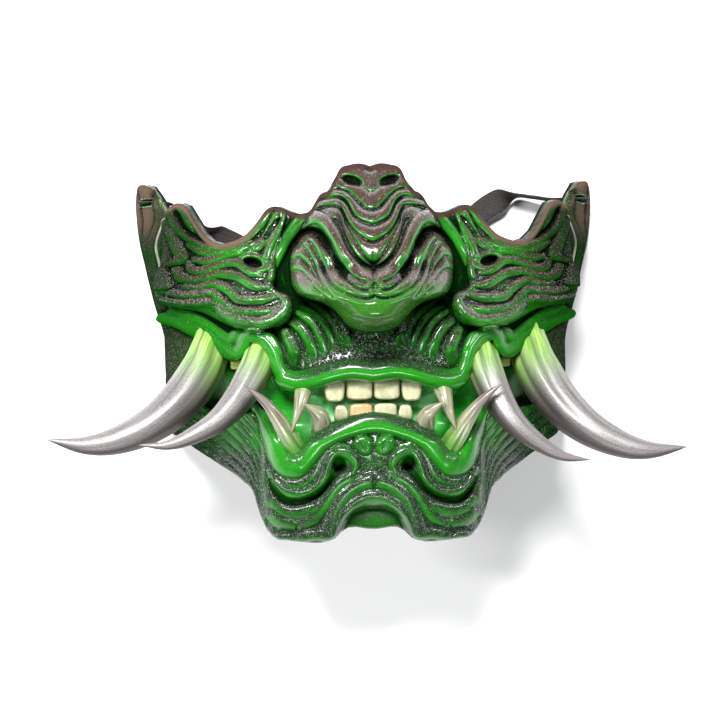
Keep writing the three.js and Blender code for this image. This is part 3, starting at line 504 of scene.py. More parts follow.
class Carving:
    """Heights over the plain face at points U, V, gathered ridge by ridge."""

    def __init__(self, u, v):
        self.u, self.v = u, v

    def along(self, points, reach):
        """Which points may be within reach of a line, how far they are from it and where along it."""
        line = curve(points)
        low, high = line.min(0) - reach, line.max(0) + reach
        close = (self.u > low[0]) & (self.u < high[0]) & (self.v > low[1]) & (self.v < high[1])
        return close, *near(line, self.u[close], self.v[close])

    def ridge(self, points, half, rise, start=1.0, end=1.0, power=0.5, fade=0.0):
        """A rounded ridge along a line.

        start and end are the shares of its width that its ends keep, fade the share of its length in which
        it sinks away, and power how steep its sides are.
        """
        close, away, share = self.along(points, half * 1.7)
        out = np.zeros(self.u.shape)
        width = np.minimum(mix(start, 1, smooth(0, 0.18, share)), mix(end, 1, smooth(0, 0.18, 1 - share)))
        sink = smooth(0, fade, 1 - share) if fade else 1
        out[close] = rise * width * sink * np.clip(1 - (away / (half * width)) ** 2, 0, 1) ** power
        return out

    def ridges(self, lines, *sizes, **more):
        return np.maximum.reduce([self.ridge(p, *sizes, **more) for p in lines])

    def valleys(self, table):
        """Rounded cushions between valley lines: how far each point lies under their tops."""
        return np.maximum.reduce([self.valley(*row) for row in table])

    def valley(self, half, depth, points):
        close, away, share = self.along(points, half)
        out = np.zeros(self.u.shape)
        fade = smooth(0, 0.1, share) * (smooth(0, 0.1, 1 - share) if points[-1][0] > 1 else 1)
        out[close] = depth * fade * (1 - dome(1 - np.clip(away / half, 0, 1)))
        return out

    def inside(self, points):
        return inside(points, self.u, self.v)

    def ellipse(self, *where):
        return ellipse(self.u, self.v, *where)


def between(guides, extra):
    """The guide lines, with extra lines evenly between each pair."""
    lines = []
    for a, b in zip(guides[:-1], guides[1:]):
        for k in range(extra + 1):
            lines.append(mix(np.array(a, float), np.array(b, float), k / (extra + 1)))
    return [*lines, np.array(guides[-1], float)]


def carve(u, v):
    """Height of the carving, and where the nose, cheek plate, mouth and lips are."""
    c = Carving(u, v)
    half = knots(NOSE_HALF, v)
    nose_in = half - u
    across = np.clip(1 - nose_in / np.maximum(half, 0.01), 0, 1)
    on_nose = smooth(0, 1, nose_in) * smooth(10.8, 11.6, v)
    nose = on_nose * (knots(NOSE_RISE, v) * (1 - across**2.4) ** 0.55 + 1.5)
    plate_in = c.inside(CHEEK_PLATE)
    on_plate = smooth(-0.2, 0.6, plate_in)
    plate = on_plate * (1.5 + 5.5 * smooth(52, 24, v)) * dome(1 - np.clip(plate_in / 3.4, 0, 1))
    in_mouth = smooth(-0.3, 0.9, c.inside(MOUTH)) * smooth(73, 62, u)
    chin = 3 * smooth(45.5, 40, u) * smooth(-24, -34, v)
    hollow = smooth(-0.4, 2.4, c.inside(CHIN_HOLLOW))
    bare = (1 - on_plate) * (1 - on_nose) * (1 - in_mouth)
    corner = 6 * dome(c.ellipse(*LIP_CORNER))
    lip = np.maximum.reduce([
        c.ridge(UPPER_LIP, 4.4, 5.6, 1, 0.95), c.ridge(DRAPE, 3.2, 5, 1.5, 0.8),
        c.ridge(LOWER_LIP, 4.4, 5.2, 1, 0.45), corner, bare * c.ridge(DRAPE_FOLD, 2.8, 3.4, 0.4, 0.6),
    ])
    off_lip = 1 - smooth(0.3, 1.5, lip)
    h = plate * (1 - on_nose) + nose + chin - 4.5 * hollow
    cheek = np.maximum.reduce([
        c.ridges(CHEEK_CRESTS, 2.2, 2.1, 0.7, 0.5), c.ridges(INNER_LOBE_RIDGES, 1.9, 1.9, 0.8, 0.5),
        c.ridge(LOBE_RIDGE, 1.8, 2.4, 0.8, 0.4), c.ridge(LOBE_ROLL, 3, 2.8, 0.5, 0.4),
    ])
    rim = np.clip(1 - ((c.ellipse(*CHEEK_PIT) - 1.55) / 0.6) ** 2, 0, 1) ** 0.5
    grooves = c.ridge(LOBE_GROOVE, 1.2, 2.2, 0.7, 0.2) + c.ridge(TOP_GROOVE, 1.2, 2.2, 0.5, 0.3)
    h += on_plate * (np.maximum(1.25 * cheek, 1.6 * rim) - grooves)
    moustache = np.maximum.reduce([c.ridge(p, w, 1.6 * w, 0.7, 0.8, fade=0.5) for w, p in MOUSTACHE_RIDGES])
    h += np.maximum(bare * moustache, lip) - MOUTH_DEPTH * in_mouth * off_lip
    h += bare * off_lip * smooth(40.8, 43.6, u) * c.ridges(between(JAW_RIDGES, 6), 2, 2.4)
    leaf = 2.6 * dome(c.ellipse(*CHIN_LEAF))
    swirls = [
        leaf, c.ridge(CHIN_BAND, 3, 2.4, 0.6, 0.6, power=0.7),
        c.ridge(VOLUTE, 2.6, 3.4, 0.6, 0.6, power=0.7),
        c.ridges(CHIN_FLOWS, 3.3, 2.4, 0.6, 0.5, power=0.9), c.ridge(CHIN_ARCS[0], 3.6, 2.8, power=0.8),
        c.ridge(CHIN_ARCS[1], 2.8, 2.4, power=0.8), c.ridges(PADS, 2.4, 2.6, 0.7, 0.7),
    ]
    chin_grooves = c.ridge(VOLUTE_GROOVE, 1.7, 2.8, 0.9, 0.6) + c.ridge(CHIN_NOTCH, 1, 1.6, 0.3, 0.6)
    h += bare * off_lip * (np.maximum.reduce(swirls) - chin_grooves)
    h += c.ridge(NOSE_ARCH, 2.8, 3.6, 0.6, 0.6) * (1 - in_mouth)
    h += on_nose * (1.6 - c.valleys(NOSE_VALLEYS) - c.ridge(NOSE_TIP_GROOVE, 1.1, 1, 0.4, 0.4))
    h -= on_nose * c.ridge(ARCH_HOLLOW, 2.6, 4.5, 0.4, 0.4, power=1)
    for depth, rim_share, full_share, *where in PITS:
        h -= depth * smooth(rim_share, full_share, c.ellipse(*where))
    areas = {"nose": on_nose, "plate": on_plate, "mouth": in_mouth, "lip": smooth(0.3, 1.5, lip)}
    return h, {**areas, "hollow": hollow}


def side_waves(v, z):
    """Waves that run up the sides, which the front view can't show."""
    phase = (z + 0.35 * v + 5 * np.sin(v / 13)) / 11
    return 1.6 * dome(2 * (phase - np.floor(phase)) - 1)


def face(angle, v):
    """The plain face at an angle round it: U, Z, share of the half width, and the way out."""
    share, lift = np.sin(angle) ** (2 / FULLNESS), np.cos(angle) ** (2 / FULLNESS)
    w, high = knots(HALF_WIDTH, v), knots(CROWN, v)
    deep = np.clip(high * lift / FLARE_DEPTH, 0, 1)
    flare = EAR_FLARE * smooth(44, 60, v) * smooth(0.86, 0.985, share) * deep
    out = unit(np.stack([share ** (FULLNESS - 1) / w, lift ** (FULLNESS - 1) / high], axis=-1))
    return w * share - flare, high * lift, share + 0 * w, out


def edge_at(angle, table):
    v = np.zeros(angle.shape)
    for _ in range(12):
        v = mix(v, knots(table, face(angle, v)[0]), 0.7)
    return v


def grid(columns, rows):
    """Angles and V of a grid of points over half of the shell, and its lower and upper edges."""
    share = np.arange(columns + 1) / columns
    angle = QUARTER * (0.8 * share + 0.2 * share**3)
    low = edge_at(angle, BOTTOM_EDGE)
    behind = smooth(60, 63, np.degrees(angle))
    high = mix(edge_at(angle, TOP_EDGE), knots(TOP_BEHIND, np.degrees(angle)), behind)
    at = np.arange(rows + 1)[None, :] / rows
    v = mix(low[:, None], high[:, None], at)
    return angle[:, None] + 0 * v, v, low[:, None], high[:, None]


def blurred(table, size):
    """A table of numbers smoothed by two passes of a box of that many cells each way."""
    for axis in (0, 1, 0, 1):
        pad = [(size, size) if k == axis else (0, 0) for k in (0, 1)]
        total = np.cumsum(np.pad(table, pad, mode="edge"), axis=axis)
        total = np.insert(total, 0, 0, axis=axis)
        count = table.shape[axis]
        high = np.take(total, np.arange(2 * size + 1, 2 * size + 1 + count), axis=axis)
        low = np.take(total, np.arange(count), axis=axis)
        table = (high - low) / (2 * size + 1)
    return table


def outer_surface():
    """Points of the shell's carved face on one half, in U, V and Z, and the numbers its paint reads."""
    angle, v, low, high = grid(COLUMNS, ROWS)
    u, z, share, _ = face(angle, v)
    h, areas = carve(u, v)
    turn = smooth(0.8, 0.99, share)
    side = smooth(0.93, 0.985, share)
    waves = side * side_waves(v, z)
    rounding = np.minimum(np.minimum(v - low, high - v), z * 0.7 + 0.01) / EDGE_ROUND
    soften = EDGE_ROUND * (1 - dome(1 - np.clip(rounding, 0, 1)))
    across = u + turn * h + waves - soften * turn
    forward = z + (1 - turn) * (h - soften)
    across[0] = 0
    forward[-1] = 0
    fine = h + waves
    seen = place(across, v, forward)
    facing = unit(np.cross(np.gradient(seen, axis=0), np.gradient(seen, axis=1)))[..., 1]
    cell = max(2, COLUMNS // 90)
    numbers = {
        "relief": fine - blurred(fine, cell * 2),
        "broad": fine - blurred(fine, cell * 5),
        "up": facing - 0.85 * blurred(facing, cell * 5),
        "height": v + 0 * u,
        "width": u,
        "side": side,
        "brim": smooth(3, 1.6, high - v) * (1 - smooth(78, 82, u) * smooth(72, 66, v)),
        **areas,
    }
    return np.stack([across, v, np.maximum(forward, 0)], axis=-1), numbers


def inner_surface():
    """Points of the plain inside, which follows the lowest of the carving round each point."""
    angle, v, _, _ = grid(INNER_COLUMNS, INNER_ROWS)
    u, z, share, out = face(angle, v)
    low, _ = carve(u, v)
    for k in range(PROBES):
        a, reach = k / PROBES * 2 * math.pi, PROBE_REACH[k % 2]
        low = np.minimum(low, carve(np.abs(u + reach * math.cos(a)), v + reach * math.sin(a))[0])
    low = blurred(low, 1)
    turn = smooth(0.8, 0.99, share)
    across = u + turn * np.maximum(low, -1) - WALL * out[..., 0]
    forward = z + (1 - turn) * low - WALL * out[..., 1]
    across[0] = 0
    forward[-1] = 0
    return np.stack([across, v, np.maximum(forward, 0)], axis=-1)


def mirrored(half, flip=False):
    """A half table and its mirror image, joined along the middle column."""
    other = half[:0:-1].copy()
    if flip:
        other[..., 0] *= -1
    return np.concatenate([other, half])


def tiles(table, flip):
    a, b, c, d = table[:-1, :-1], table[1:, :-1], table[1:, 1:], table[:-1, 1:]
    order = (d, c, b, a) if flip else (a, b, c, d)
    return np.stack(order, axis=-1).reshape(-1, 4).tolist()


def zipped(a, b):
    """Triangles between two rows of points along one edge of the shell."""
    a, b, faces, i, j = a.tolist(), b.tolist(), [], 0, 0
    while i < len(a) - 1 or j < len(b) - 1:
        first = (i + 1) / (len(a) - 1)
        second = (j + 1) / (len(b) - 1)
        if j == len(b) - 1 or (i < len(a) - 1 and first <= second):
            faces.append((a[i], a[i + 1], b[j]))
            i += 1
        else:
            faces.append((a[i], b[j + 1], b[j]))
            j += 1
    return faces


def make_shell(material):
    outer, numbers = outer_surface()
    inner = mirrored(inner_surface(), True)
    outer = mirrored(outer, True)
    outer_ids = np.arange(outer[..., 0].size).reshape(outer.shape[:2])
    inner_ids = outer_ids.size + np.arange(inner[..., 0].size).reshape(inner.shape[:2])
    faces = tiles(outer_ids, False) + tiles(inner_ids, True)
    faces += zipped(outer_ids[0], inner_ids[0]) + zipped(inner_ids[-1], outer_ids[-1])
    faces += zipped(inner_ids[:, 0], outer_ids[:, 0]) + zipped(outer_ids[:, -1], inner_ids[:, -1])
    flat = np.vstack([outer.reshape(-1, 3), inner.reshape(-1, 3)])
    shell = make_mesh("carved_shell", place(*flat.T), faces, material, "mask_shell")
    rest = inner_ids.size
    for name, table in numbers.items():
        values = mirrored(table).ravel()
        put(shell.data, name, np.concatenate([values, np.zeros(rest)]))
    inside_face = np.concatenate([np.zeros(outer_ids.size), np.ones(rest)])
    put(shell.data, "inside", inside_face)
    return shell


def cut_slots(shell):
    """Cuts the strap's slot through each ear flap."""
    deep = 2 * SLOT_REACH
    long = STRAP_WIDTH + 2 * SLOT_SLACK
    high = STRAP_THICKNESS + 2 * SLOT_SLACK
    for side in (1, -1):
        middle = place(np.array(side * float(SLOT_ACROSS)), SLOT_HEIGHT, SLOT_LEVEL)
        corners = [
            (x * deep / 2, y * high / 2, z * long / 2) for x in (-1, 1) for y in (-1, 1) for z in (-1, 1)
        ]
        mesh = bpy.data.meshes.new("cutter")
        sides = [(0, 1, 3, 2), (4, 6, 7, 5), (0, 4, 5, 1), (2, 3, 7, 6), (0, 2, 6, 4), (1, 5, 7, 3)]
        mesh.from_pydata((np.array(corners) * MM + middle).tolist(), [], sides)
        cutter = add_object("cutter", mesh)
        cut = shell.modifiers.new("slot", "BOOLEAN")
        cut.operation = "DIFFERENCE"
        cut.solver = "MANIFOLD"
        cut.object = cutter
        apply_modifiers(shell)
        bpy.data.objects.remove(cutter)


def apply_modifiers(piece):
    """Replaces a piece's mesh by the one that its modifiers make."""
    graph = bpy.context.evaluated_depsgraph_get()
    mesh = bpy.data.meshes.new_from_object(piece.evaluated_get(graph))
    piece.modifiers.clear()
    piece.data = mesh


def thin_out(piece):
    """Fewer faces where the surface is plain."""
    count = sum(len(p.vertices) - 2 for p in piece.data.polygons)
    if count > MOST_FACES:
        thin = piece.modifiers.new("thin", "DECIMATE")
        thin.ratio = MOST_FACES / count
        apply_modifiers(piece)


# Tusks, fangs and teeth
HORN_RINGS = 90
HORN_SIDES = 48

# Flute depth as a share of the radius, deeper on the right side than on the left
FLUTE_DEPTH = {1: 0.075, -1: 0.04}


def turned(path, degrees):
    """A path turned about its first point, as seen from in front."""
    p = np.array(path, float)
    a = math.radians(degrees)
    x, y = p[:, 0] - p[0, 0], p[:, 1] - p[0, 1]
    across = p[0, 0] + x * math.cos(a) - y * math.sin(a)
    return np.stack([across, p[0, 1] + y * math.cos(a) + x * math.sin(a), p[:, 2]], axis=1)


def make_horn(name, side, shape, material):
    """A curved horn with flutes along it that fade towards its tip."""
    path, diameter, fullness, neck, lean, flutes, slot = shape
    p = turned(path, -side * lean)
    line, tangent = smooth_path(place(side * p[:, 0], p[:, 1], p[:, 2]), HORN_RINGS)
    across = unit(np.cross(np.array([0.0, 0.0, 1.0]), tangent))
    out = np.cross(tangent, across)
    t = np.linspace(0, 0.998, HORN_RINGS)
    swell = mix(neck, 1, smooth(0, 0.3, t))
    radius = diameter / 2 * MM * swell * (1 - t**fullness) ** 0.9
    angle = np.arange(HORN_SIDES) / HORN_SIDES * 2 * math.pi
    turn = flutes * angle[None] + 0.5 * np.sin(5 * t)[:, None]
    flute = (1 - smooth(0.1, 0.8, t))[:, None] * (np.cos(turn) + 0.4 * np.cos(2 * turn + angle[None]))
    r = radius[:, None] * (1 + FLUTE_DEPTH[side] * flute)
    ring = line[:, None] + across[:, None] * (r * np.cos(angle))[..., None]
    ring = ring + out[:, None] * (r * np.sin(angle))[..., None]
    points = np.vstack([ring.reshape(-1, 3), line[:1], line[-1:]])
    n, last = HORN_SIDES, HORN_RINGS - 1
    faces = tube(HORN_RINGS, n)
    faces += [(len(points) - 2, (k + 1) % n, k) for k in range(n)]
    faces += [(last * n + k, last * n + (k + 1) % n, len(points) - 1) for k in range(n)]
    piece = make_mesh(f"{name}_carved", points, faces, material, name)
    put(piece.data, "along", [*np.repeat(t, n), 0, 1])
    put(piece.data, "groove", [*flute.ravel(), 0, 0])
    put(piece.data, "turn", [*np.tile(angle / (2 * math.pi), HORN_RINGS), 0, 0])
    # How far each point faces the horn's underside, where the tusk paint puts painted shade
    put(piece.data, "under", [*np.tile(-side * np.cos(angle), HORN_RINGS), 0, 0])


TOOTH_ROWS = 28
TOOTH_SIDES = 40
LOBE_DEPTH = 0.035

# The carved teeth are this much larger than the solids
TOOTH_GROWTH = 1.02


def make_tooth(name, way, size, point, material):
    """A flat tooth: a rounded block that narrows to its biting edge, with faint lobes in front."""
    low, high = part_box(name)
    centre = np.array((low + high) / 2)
    width, height, depth = (s * MM for s in size)
    t = np.linspace(0, 1, TOOTH_ROWS)
    level = -np.cos(t * math.pi)
    share = (1 - np.abs(level) ** 8) ** 0.4 * (0.985 + 0.015 * level)
    angle = np.arange(TOOTH_SIDES) / TOOTH_SIDES * 2 * math.pi
    c, s = np.cos(angle), np.sin(angle)
    square = (np.abs(c) ** 4 + np.abs(s) ** 4) ** (-1 / 4)
    slope = 1 - point * np.clip(-level, 0, 1)
    lobes = 1 + LOBE_DEPTH * np.cos(3 * math.pi * c[None] * square[None]) * (s[None] > 0)
    x = width / 2 * share[:, None] * slope[:, None] * square * c
    y = height / 2 * level[:, None] * np.ones(TOOTH_SIDES)
    z = depth / 2 * share[:, None] * square * s * lobes
    points = np.stack([-way * x, -way * y, z], axis=-1).reshape(-1, 3) * TOOTH_GROWTH + centre
    n = TOOTH_SIDES
    faces = tube(TOOTH_ROWS, n, flip=True)
    faces += [tuple(range(n)), tuple(range((TOOTH_ROWS - 1) * n, TOOTH_ROWS * n))[::-1]]
    piece = make_mesh(f"{name}_carved", points, faces, material, name)
    put(piece.data, "edge", np.repeat(level, n))
    put(piece.data, "rim", np.tile(np.abs(c * square), TOOTH_ROWS))


# Materials


class Paint:
    """A node material built step by step; each method gives back an output socket."""

    def __init__(self, name, **values):
        self.material = bpy.data.materials.new(name)
        self.material.use_nodes = True
        self.nodes = self.material.node_tree.nodes
        self.links = self.material.node_tree.links
        self.shader = self.nodes["Principled BSDF"]
        for key, value in values.items():
            self.shader.inputs[key.replace("_", " ")].default_value = value

    def link(self, source, target):
        if isinstance(source, (int, float)):
            target.default_value = source
        elif isinstance(source, tuple):
            target.default_value = (*source, 1)
        else:
            self.links.new(source, target)

    def node(self, kind, *values, **named):
        """A new node with its inputs set or linked, by place or by name."""
        node = self.nodes.new("ShaderNode" + kind)
        for key, value in [*enumerate(values), *named.items()]:
            self.link(value, node.inputs[key])
        return node

    def numbers(self, names):
        """The numbers of a mesh that a line of names asks for."""
        return [self.number(name) for name in names.split()]

    def number(self, name):
        node = self.node("Attribute")
        node.attribute_name = name
        return node.outputs["Fac"]

    def where(self):
        return self.node("TexCoord").outputs["Object"]

    def noise(self, scale, detail, rough, at=None):
        sizes = {"Scale": scale, "Detail": detail, "Roughness": rough}
        return self.node("TexNoise", Vector=at or self.where(), **sizes).outputs["Fac"]

    def specks(self, scale):
        """A random value for each cell, and the distance from the cell's middle."""
        cells = self.node("TexVoronoi", Vector=self.where(), Scale=scale)
        return self.node("SeparateColor", cells.outputs["Color"]).outputs[0], cells.outputs["Distance"]

    def math(self, kind, *values):
        """Values joined two by two, from the first on, by one kind of maths."""
        total = values[0]
        for value in values[1:]:
            node = self.node("Math", total, value)
            node.operation = kind
            total = node.outputs[0]
        return total

    def plus(self, *values):
        return self.math("ADD", *values)

    def minus(self, a, b):
        return self.math("SUBTRACT", a, b)

    def rest(self, share):
        """What a share leaves of 1."""
        return self.minus(1.0, share)

    def times(self, *values):
        return self.math("MULTIPLY", *values)

    def most(self, *values):
        return self.math("MAXIMUM", *values)

    def ramp(self, value, low, high, start=0.0, end=1.0):
        """A value eased from start at low to end at high."""
        node = self.node("MapRange", value, low, high, start, end)
        node.interpolation_type = "SMOOTHSTEP"
        return node.outputs[0]

    def mix(self, share, a, b):
        node = self.node("Mix")
        node.data_type = "RGBA"
        for key, value in ((0, share), (6, a), (7, b)):
            self.link(value, node.inputs[key])
        return node.outputs[2]

    def scaled(self, x, y, z):
        node = self.node("Mapping", Vector=self.where())
        node.inputs["Scale"].default_value = (x, y, z)
        return node.outputs[0]

    def stretched(self, along, turn, length, count, level=0.0):
        """Where a horn's streaks are read: their number along it and round it."""
        return self.node("CombineXYZ", self.times(along, length), self.times(turn, count), level).outputs[0]

    def bump(self, height, strength, distance):
        node = self.node("Bump", Strength=strength, Distance=distance, Height=height)
        self.links.new(node.outputs[0], self.shader.inputs["Normal"])

    def finish(self, colour, roughness=None, metallic=None):
        for key, value in (("Base Color", colour), ("Roughness", roughness), ("Metallic", metallic)):
            if value is not None:
                self.link(value, self.shader.inputs[key])
        return self.material


GREEN = (0.008, 0.095, 0.004)
HOLLOW_GREEN = (0.008, 0.085, 0.004)
BRIGHT_GREEN = (0.01, 0.2, 0.004)
OLIVE = (0.028, 0.11, 0.008)
DARK_GREEN = (0.004, 0.02, 0.004)
BLACK_GREEN = (0.001, 0.003, 0.0015)
BROWN = (0.047, 0.025, 0.021)
LIGHT_BROWN = (0.115, 0.072, 0.056)
GREY = (0.011, 0.014, 0.011)
GUM_GREEN = (0.015, 0.36, 0.015)
MINT = (0.34, 0.85, 0.4)
CREAM_HIGHLIGHT = (0.4, 0.4, 0.32)
SILVER_FLAKE = (0.7, 0.7, 0.68)
INSIDE = (0.012, 0.012, 0.011)


def shell_paint():
    """Green base, black green washed into the grooves together with painted shade, dark greys dusted from
    above, silver flakes, varnish.
    """
    p = Paint("green_resin_paint")
    relief, broad, up, height, width = p.numbers("relief broad up height width")
    lip, plate, nose, side = p.numbers("lip plate nose side")
    hollow, mouth, inner, brim = p.numbers("hollow mouth inside brim")
    cloud = p.noise(70, 4, 0.6)
    fine = p.noise(900, 3, 0.6)
    flat = p.rest(lip)
    base = p.mix(p.ramp(cloud, 0.35, 0.65), GREEN, BRIGHT_GREEN)
    # Olive on the low part of the nose, bright green on the lips, dark green towards the sides
    low_nose = p.times(nose, p.ramp(height, 34, 20, 0, 0.7))
    base = p.mix(low_nose, base, OLIVE)
    base = p.mix(p.ramp(width, 46, 84, 0, 0.9), base, DARK_GREEN)
    jaw = p.times(p.ramp(width, 40, 50), p.ramp(height, 0, -14))
    base = p.mix(p.times(jaw, p.ramp(cloud, 0.3, 0.7, 0.7, 0.2)), base, DARK_GREEN)
    base = p.mix(p.times(lip, p.ramp(width, 60, 30, 0.5, 1)), base, BRIGHT_GREEN)
    base = p.mix(p.times(hollow, 0.8), base, HOLLOW_GREEN)
    # Brown grey dusted from above on the nose, the cheeks and the ears, and dark grey on the chin and jaw
    top = p.times(nose, p.ramp(height, 23, 33))
    low = p.times(p.ramp(height, -28, -40, 0, 0.9), p.rest(hollow))
    muzzle = p.times(p.ramp(height, -5, -1), p.ramp(height, 24, 12), p.ramp(width, 40, 32))
    muzzle = p.times(muzzle, flat, p.rest(nose))
    zone = p.most(top, p.times(plate, 0.9), p.times(side, 0.8), low, p.times(muzzle, 0.85))
    zone = p.most(zone, p.ramp(width, 50, 70, 0, 0.7))
    uneven = p.times(p.minus(cloud, 0.5), 0.5)
    facing = p.plus(up, uneven, p.ramp(height, 66, 76, 0, 0.3), p.ramp(height, -30, -42, 0, 0.12))
    facing = p.minus(facing, p.times(plate, p.ramp(width, 70, 50, 0, 0.2)))
    dusted = p.times(p.ramp(facing, -0.25, 0.15), p.times(zone, flat))
    shaded = p.times(p.ramp(facing, -0.1, 0.3), lip, p.ramp(width, 40, 20, 0.3, 0.85))
    grey = p.most(p.ramp(width, 62, 80, 0, 0.8), p.ramp(height, 5, -15), p.times(muzzle, 0.85))
    dust = p.mix(grey, BROWN, GREY)
    base = p.mix(p.times(dusted, 0.97), base, dust)
    base = p.mix(shaded, base, GREY)
    # Black green washed into the grooves and low places together with painted shade, light on the chin, and
    # on the band over the upper lip
    wash_and_shade = p.most(p.ramp(relief, 0.1, -0.9), p.times(p.ramp(broad, -0.8, -3), 0.8))
    gum = p.times(mouth, flat, p.ramp(width, 44, 38))
    wash_and_shade = p.times(wash_and_shade, p.ramp(p.most(lip, gum), 0, 1, 1, 0.3), p.ramp(height, -24, -36, 1, 0.6))
    band = p.times(muzzle, p.most(p.ramp(relief, 0.5, -0.2), p.ramp(height, 5, 2)))
    wash_and_shade = p.most(p.times(wash_and_shade, p.ramp(band, 0, 1, 1, 0.7)), p.times(band, 0.6))
    base = p.mix(p.times(wash_and_shade, 0.95), base, BLACK_GREEN)
    # Mint gum beside the teeth
    mint = p.times(gum, p.times(p.ramp(width, 30, 20), p.ramp(cloud, 0.3, 0.6)))
    base = p.mix(p.times(gum, 0.9), base, GUM_GREEN)
    base = p.mix(p.times(mint, 0.8), base, MINT)
    # Silver flakes, thickest where the dust is
    value, away = p.specks(3300)
    lobe = p.times(plate, p.ramp(height, 36, 27), p.ramp(up, -0.35, 0.1))
    few = p.ramp(p.most(lobe, p.times(p.most(low, band), 0.65)), 0, 1, 0.82, 0.5)
    flake = p.times(p.math("GREATER_THAN", value, few), p.ramp(away, 0.5, 0.35))
    spread = p.most(p.times(zone, flat), muzzle, 0.3, p.times(shaded, 0.6))
    spread = p.times(spread, p.ramp(up, -0.5, 0.3, 0.12, 1), p.ramp(width, 60, 84, 1, 0.4))
    spread = p.times(spread, p.most(p.ramp(broad, -1, -2.6, 1, 0.15), band))
    flake = p.times(flake, p.times(spread, p.ramp(fine, 0.38, 0.6)))
    calm = p.most(p.ramp(height, -28, -40), p.times(muzzle, p.ramp(height, 8, 4)))
    flake = p.times(flake, p.ramp(calm, 0, 1, 1, 0.8))
    base = p.mix(flake, base, SILVER_FLAKE)
    # Light brown on the ears and the brim, and a painted cream highlight line down the cheek's outer edge
    ear = p.times(p.ramp(width, 80, 86), p.ramp(height, 46, 60), 0.75, p.ramp(relief, -0.8, 0.2))
    edge = p.mix(p.ramp(width, 40, 48), BROWN, LIGHT_BROWN)
    base = p.mix(p.most(ear, p.times(brim, 0.9)), base, edge)
    # Painted highlight: a thin cream line where the side turns away, standing in for light caught on that
    # edge
    line = p.ramp(p.math("ABSOLUTE", p.minus(side, 0.4), 0.0), 0.16, 0.05)
    line = p.times(line, flat, p.ramp(height, 20, 28), p.ramp(cloud, 0.3, 0.6, 0.2, 0.8))
    base = p.mix(line, base, CREAM_HIGHLIGHT)
    base = p.mix(inner, base, INSIDE)
    grain = p.plus(p.times(fine, 0.3), p.times(flake, 0.4))
    p.bump(p.times(grain, p.ramp(calm, 0, 1, 1, 0.25)), 0.15, 0.0003)
    p.link(p.ramp(calm, 0, 1, 0.1, 0.2), p.shader.inputs["Coat Roughness"])
    # Less varnish towards the sides
    matt = p.most(side, inner, p.ramp(width, 40, 70), p.times(jaw, 0.45), brim, p.times(hollow, 0.6))
    matt = p.most(matt, p.times(p.ramp(broad, -1.2, -3), p.rest(gum)))
    matt = p.most(matt, p.times(band, 0.5), p.ramp(height, -32, -44, 0, 0.4))
    p.link(p.ramp(matt, 0, 0.9, 0.45, 0.0), p.shader.inputs["Coat Weight"])
    p.link(p.ramp(matt, 0, 0.9, 0.25, 0.0), p.shader.inputs["Specular IOR Level"])
    rough = p.most(p.ramp(cloud, 0.3, 0.7, 0.2, 0.34), p.times(inner, 0.6))
    return p.finish(base, rough, p.times(flake, 0.8))


def tusk_paint():
    """Brushed silver along the tusk, painted brown shade on its underside and in its grooves, lime green
    towards the root.
    """
    p = Paint("silver_tusk_paint", Coat_Weight=0.06, Coat_Roughness=0.3)
    along, groove, turn, under = p.numbers("along groove turn under")
    streak = p.noise(1.0, 4, 0.65, p.stretched(along, turn, 4, 46))
    broad = p.noise(1.0, 3, 0.6, p.stretched(along, turn, 2, 12, 4.0))
    grain = p.noise(2200, 2, 0.6)
    silver = p.mix(p.ramp(streak, 0.3, 0.7), (0.115, 0.107, 0.105), (0.26, 0.248, 0.245))
    silver = p.mix(p.ramp(grain, 0.35, 0.65, 0, 0.45), silver, (0.42, 0.405, 0.4))
    silver = p.mix(p.ramp(broad, 0.5, 0.72, 0, 0.5), silver, (0.14, 0.115, 0.105))
    # Painted brown shade on the underside
    silver = p.mix(p.ramp(under, 0.0, 0.85, 0, 0.85), silver, (0.06, 0.045, 0.04))
    green = p.mix(p.ramp(streak, 0.38, 0.66), (0.1, 0.3, 0.015), (0.36, 0.52, 0.14))
    reach = p.plus(along, p.times(p.minus(streak, 0.5), 0.25))
    colour = p.mix(p.ramp(reach, 0.08, 0.34), green, silver)
    # Painted shade in the flutes' grooves
    colour = p.mix(p.ramp(groove, -0.2, -1.2, 0, 0.6), colour, (0.05, 0.045, 0.035))
    p.bump(p.plus(streak, p.times(grain, 0.5)), 0.2, 0.0005)
    return p.finish(colour, p.ramp(streak, 0.3, 0.7, 0.52, 0.4), p.ramp(reach, 0.15, 0.45, 0.0, 0.6))


def fang_paint(name, tip_share):
    """Ivory with green at the root and a grey brown tip, and painted shade in its grooves."""
    p = Paint(name, Coat_Weight=0.4, Coat_Roughness=0.12)
    along, groove, turn = p.numbers("along groove turn")
    streak = p.noise(1.0, 4, 0.6, p.stretched(along, turn, 3, 24))
    ivory = p.mix(p.ramp(streak, 0.3, 0.7), (0.12, 0.13, 0.06), (0.36, 0.35, 0.23))
    tip = p.mix(p.ramp(streak, 0.3, 0.7), (0.07, 0.05, 0.048), (0.24, 0.21, 0.2))
    colour = p.mix(p.ramp(along, 0.1, 0.5), (0.09, 0.26, 0.03), ivory)
    colour = p.mix(p.ramp(along, 0.4, 0.8, 0, tip_share), colour, tip)
    # Painted shade in the flutes' grooves
    colour = p.mix(p.ramp(groove, -0.2, -1.2, 0, 0.6), colour, (0.05, 0.055, 0.03))
    p.bump(streak, 0.2, 0.0005)
    return p.finish(colour, 0.3)


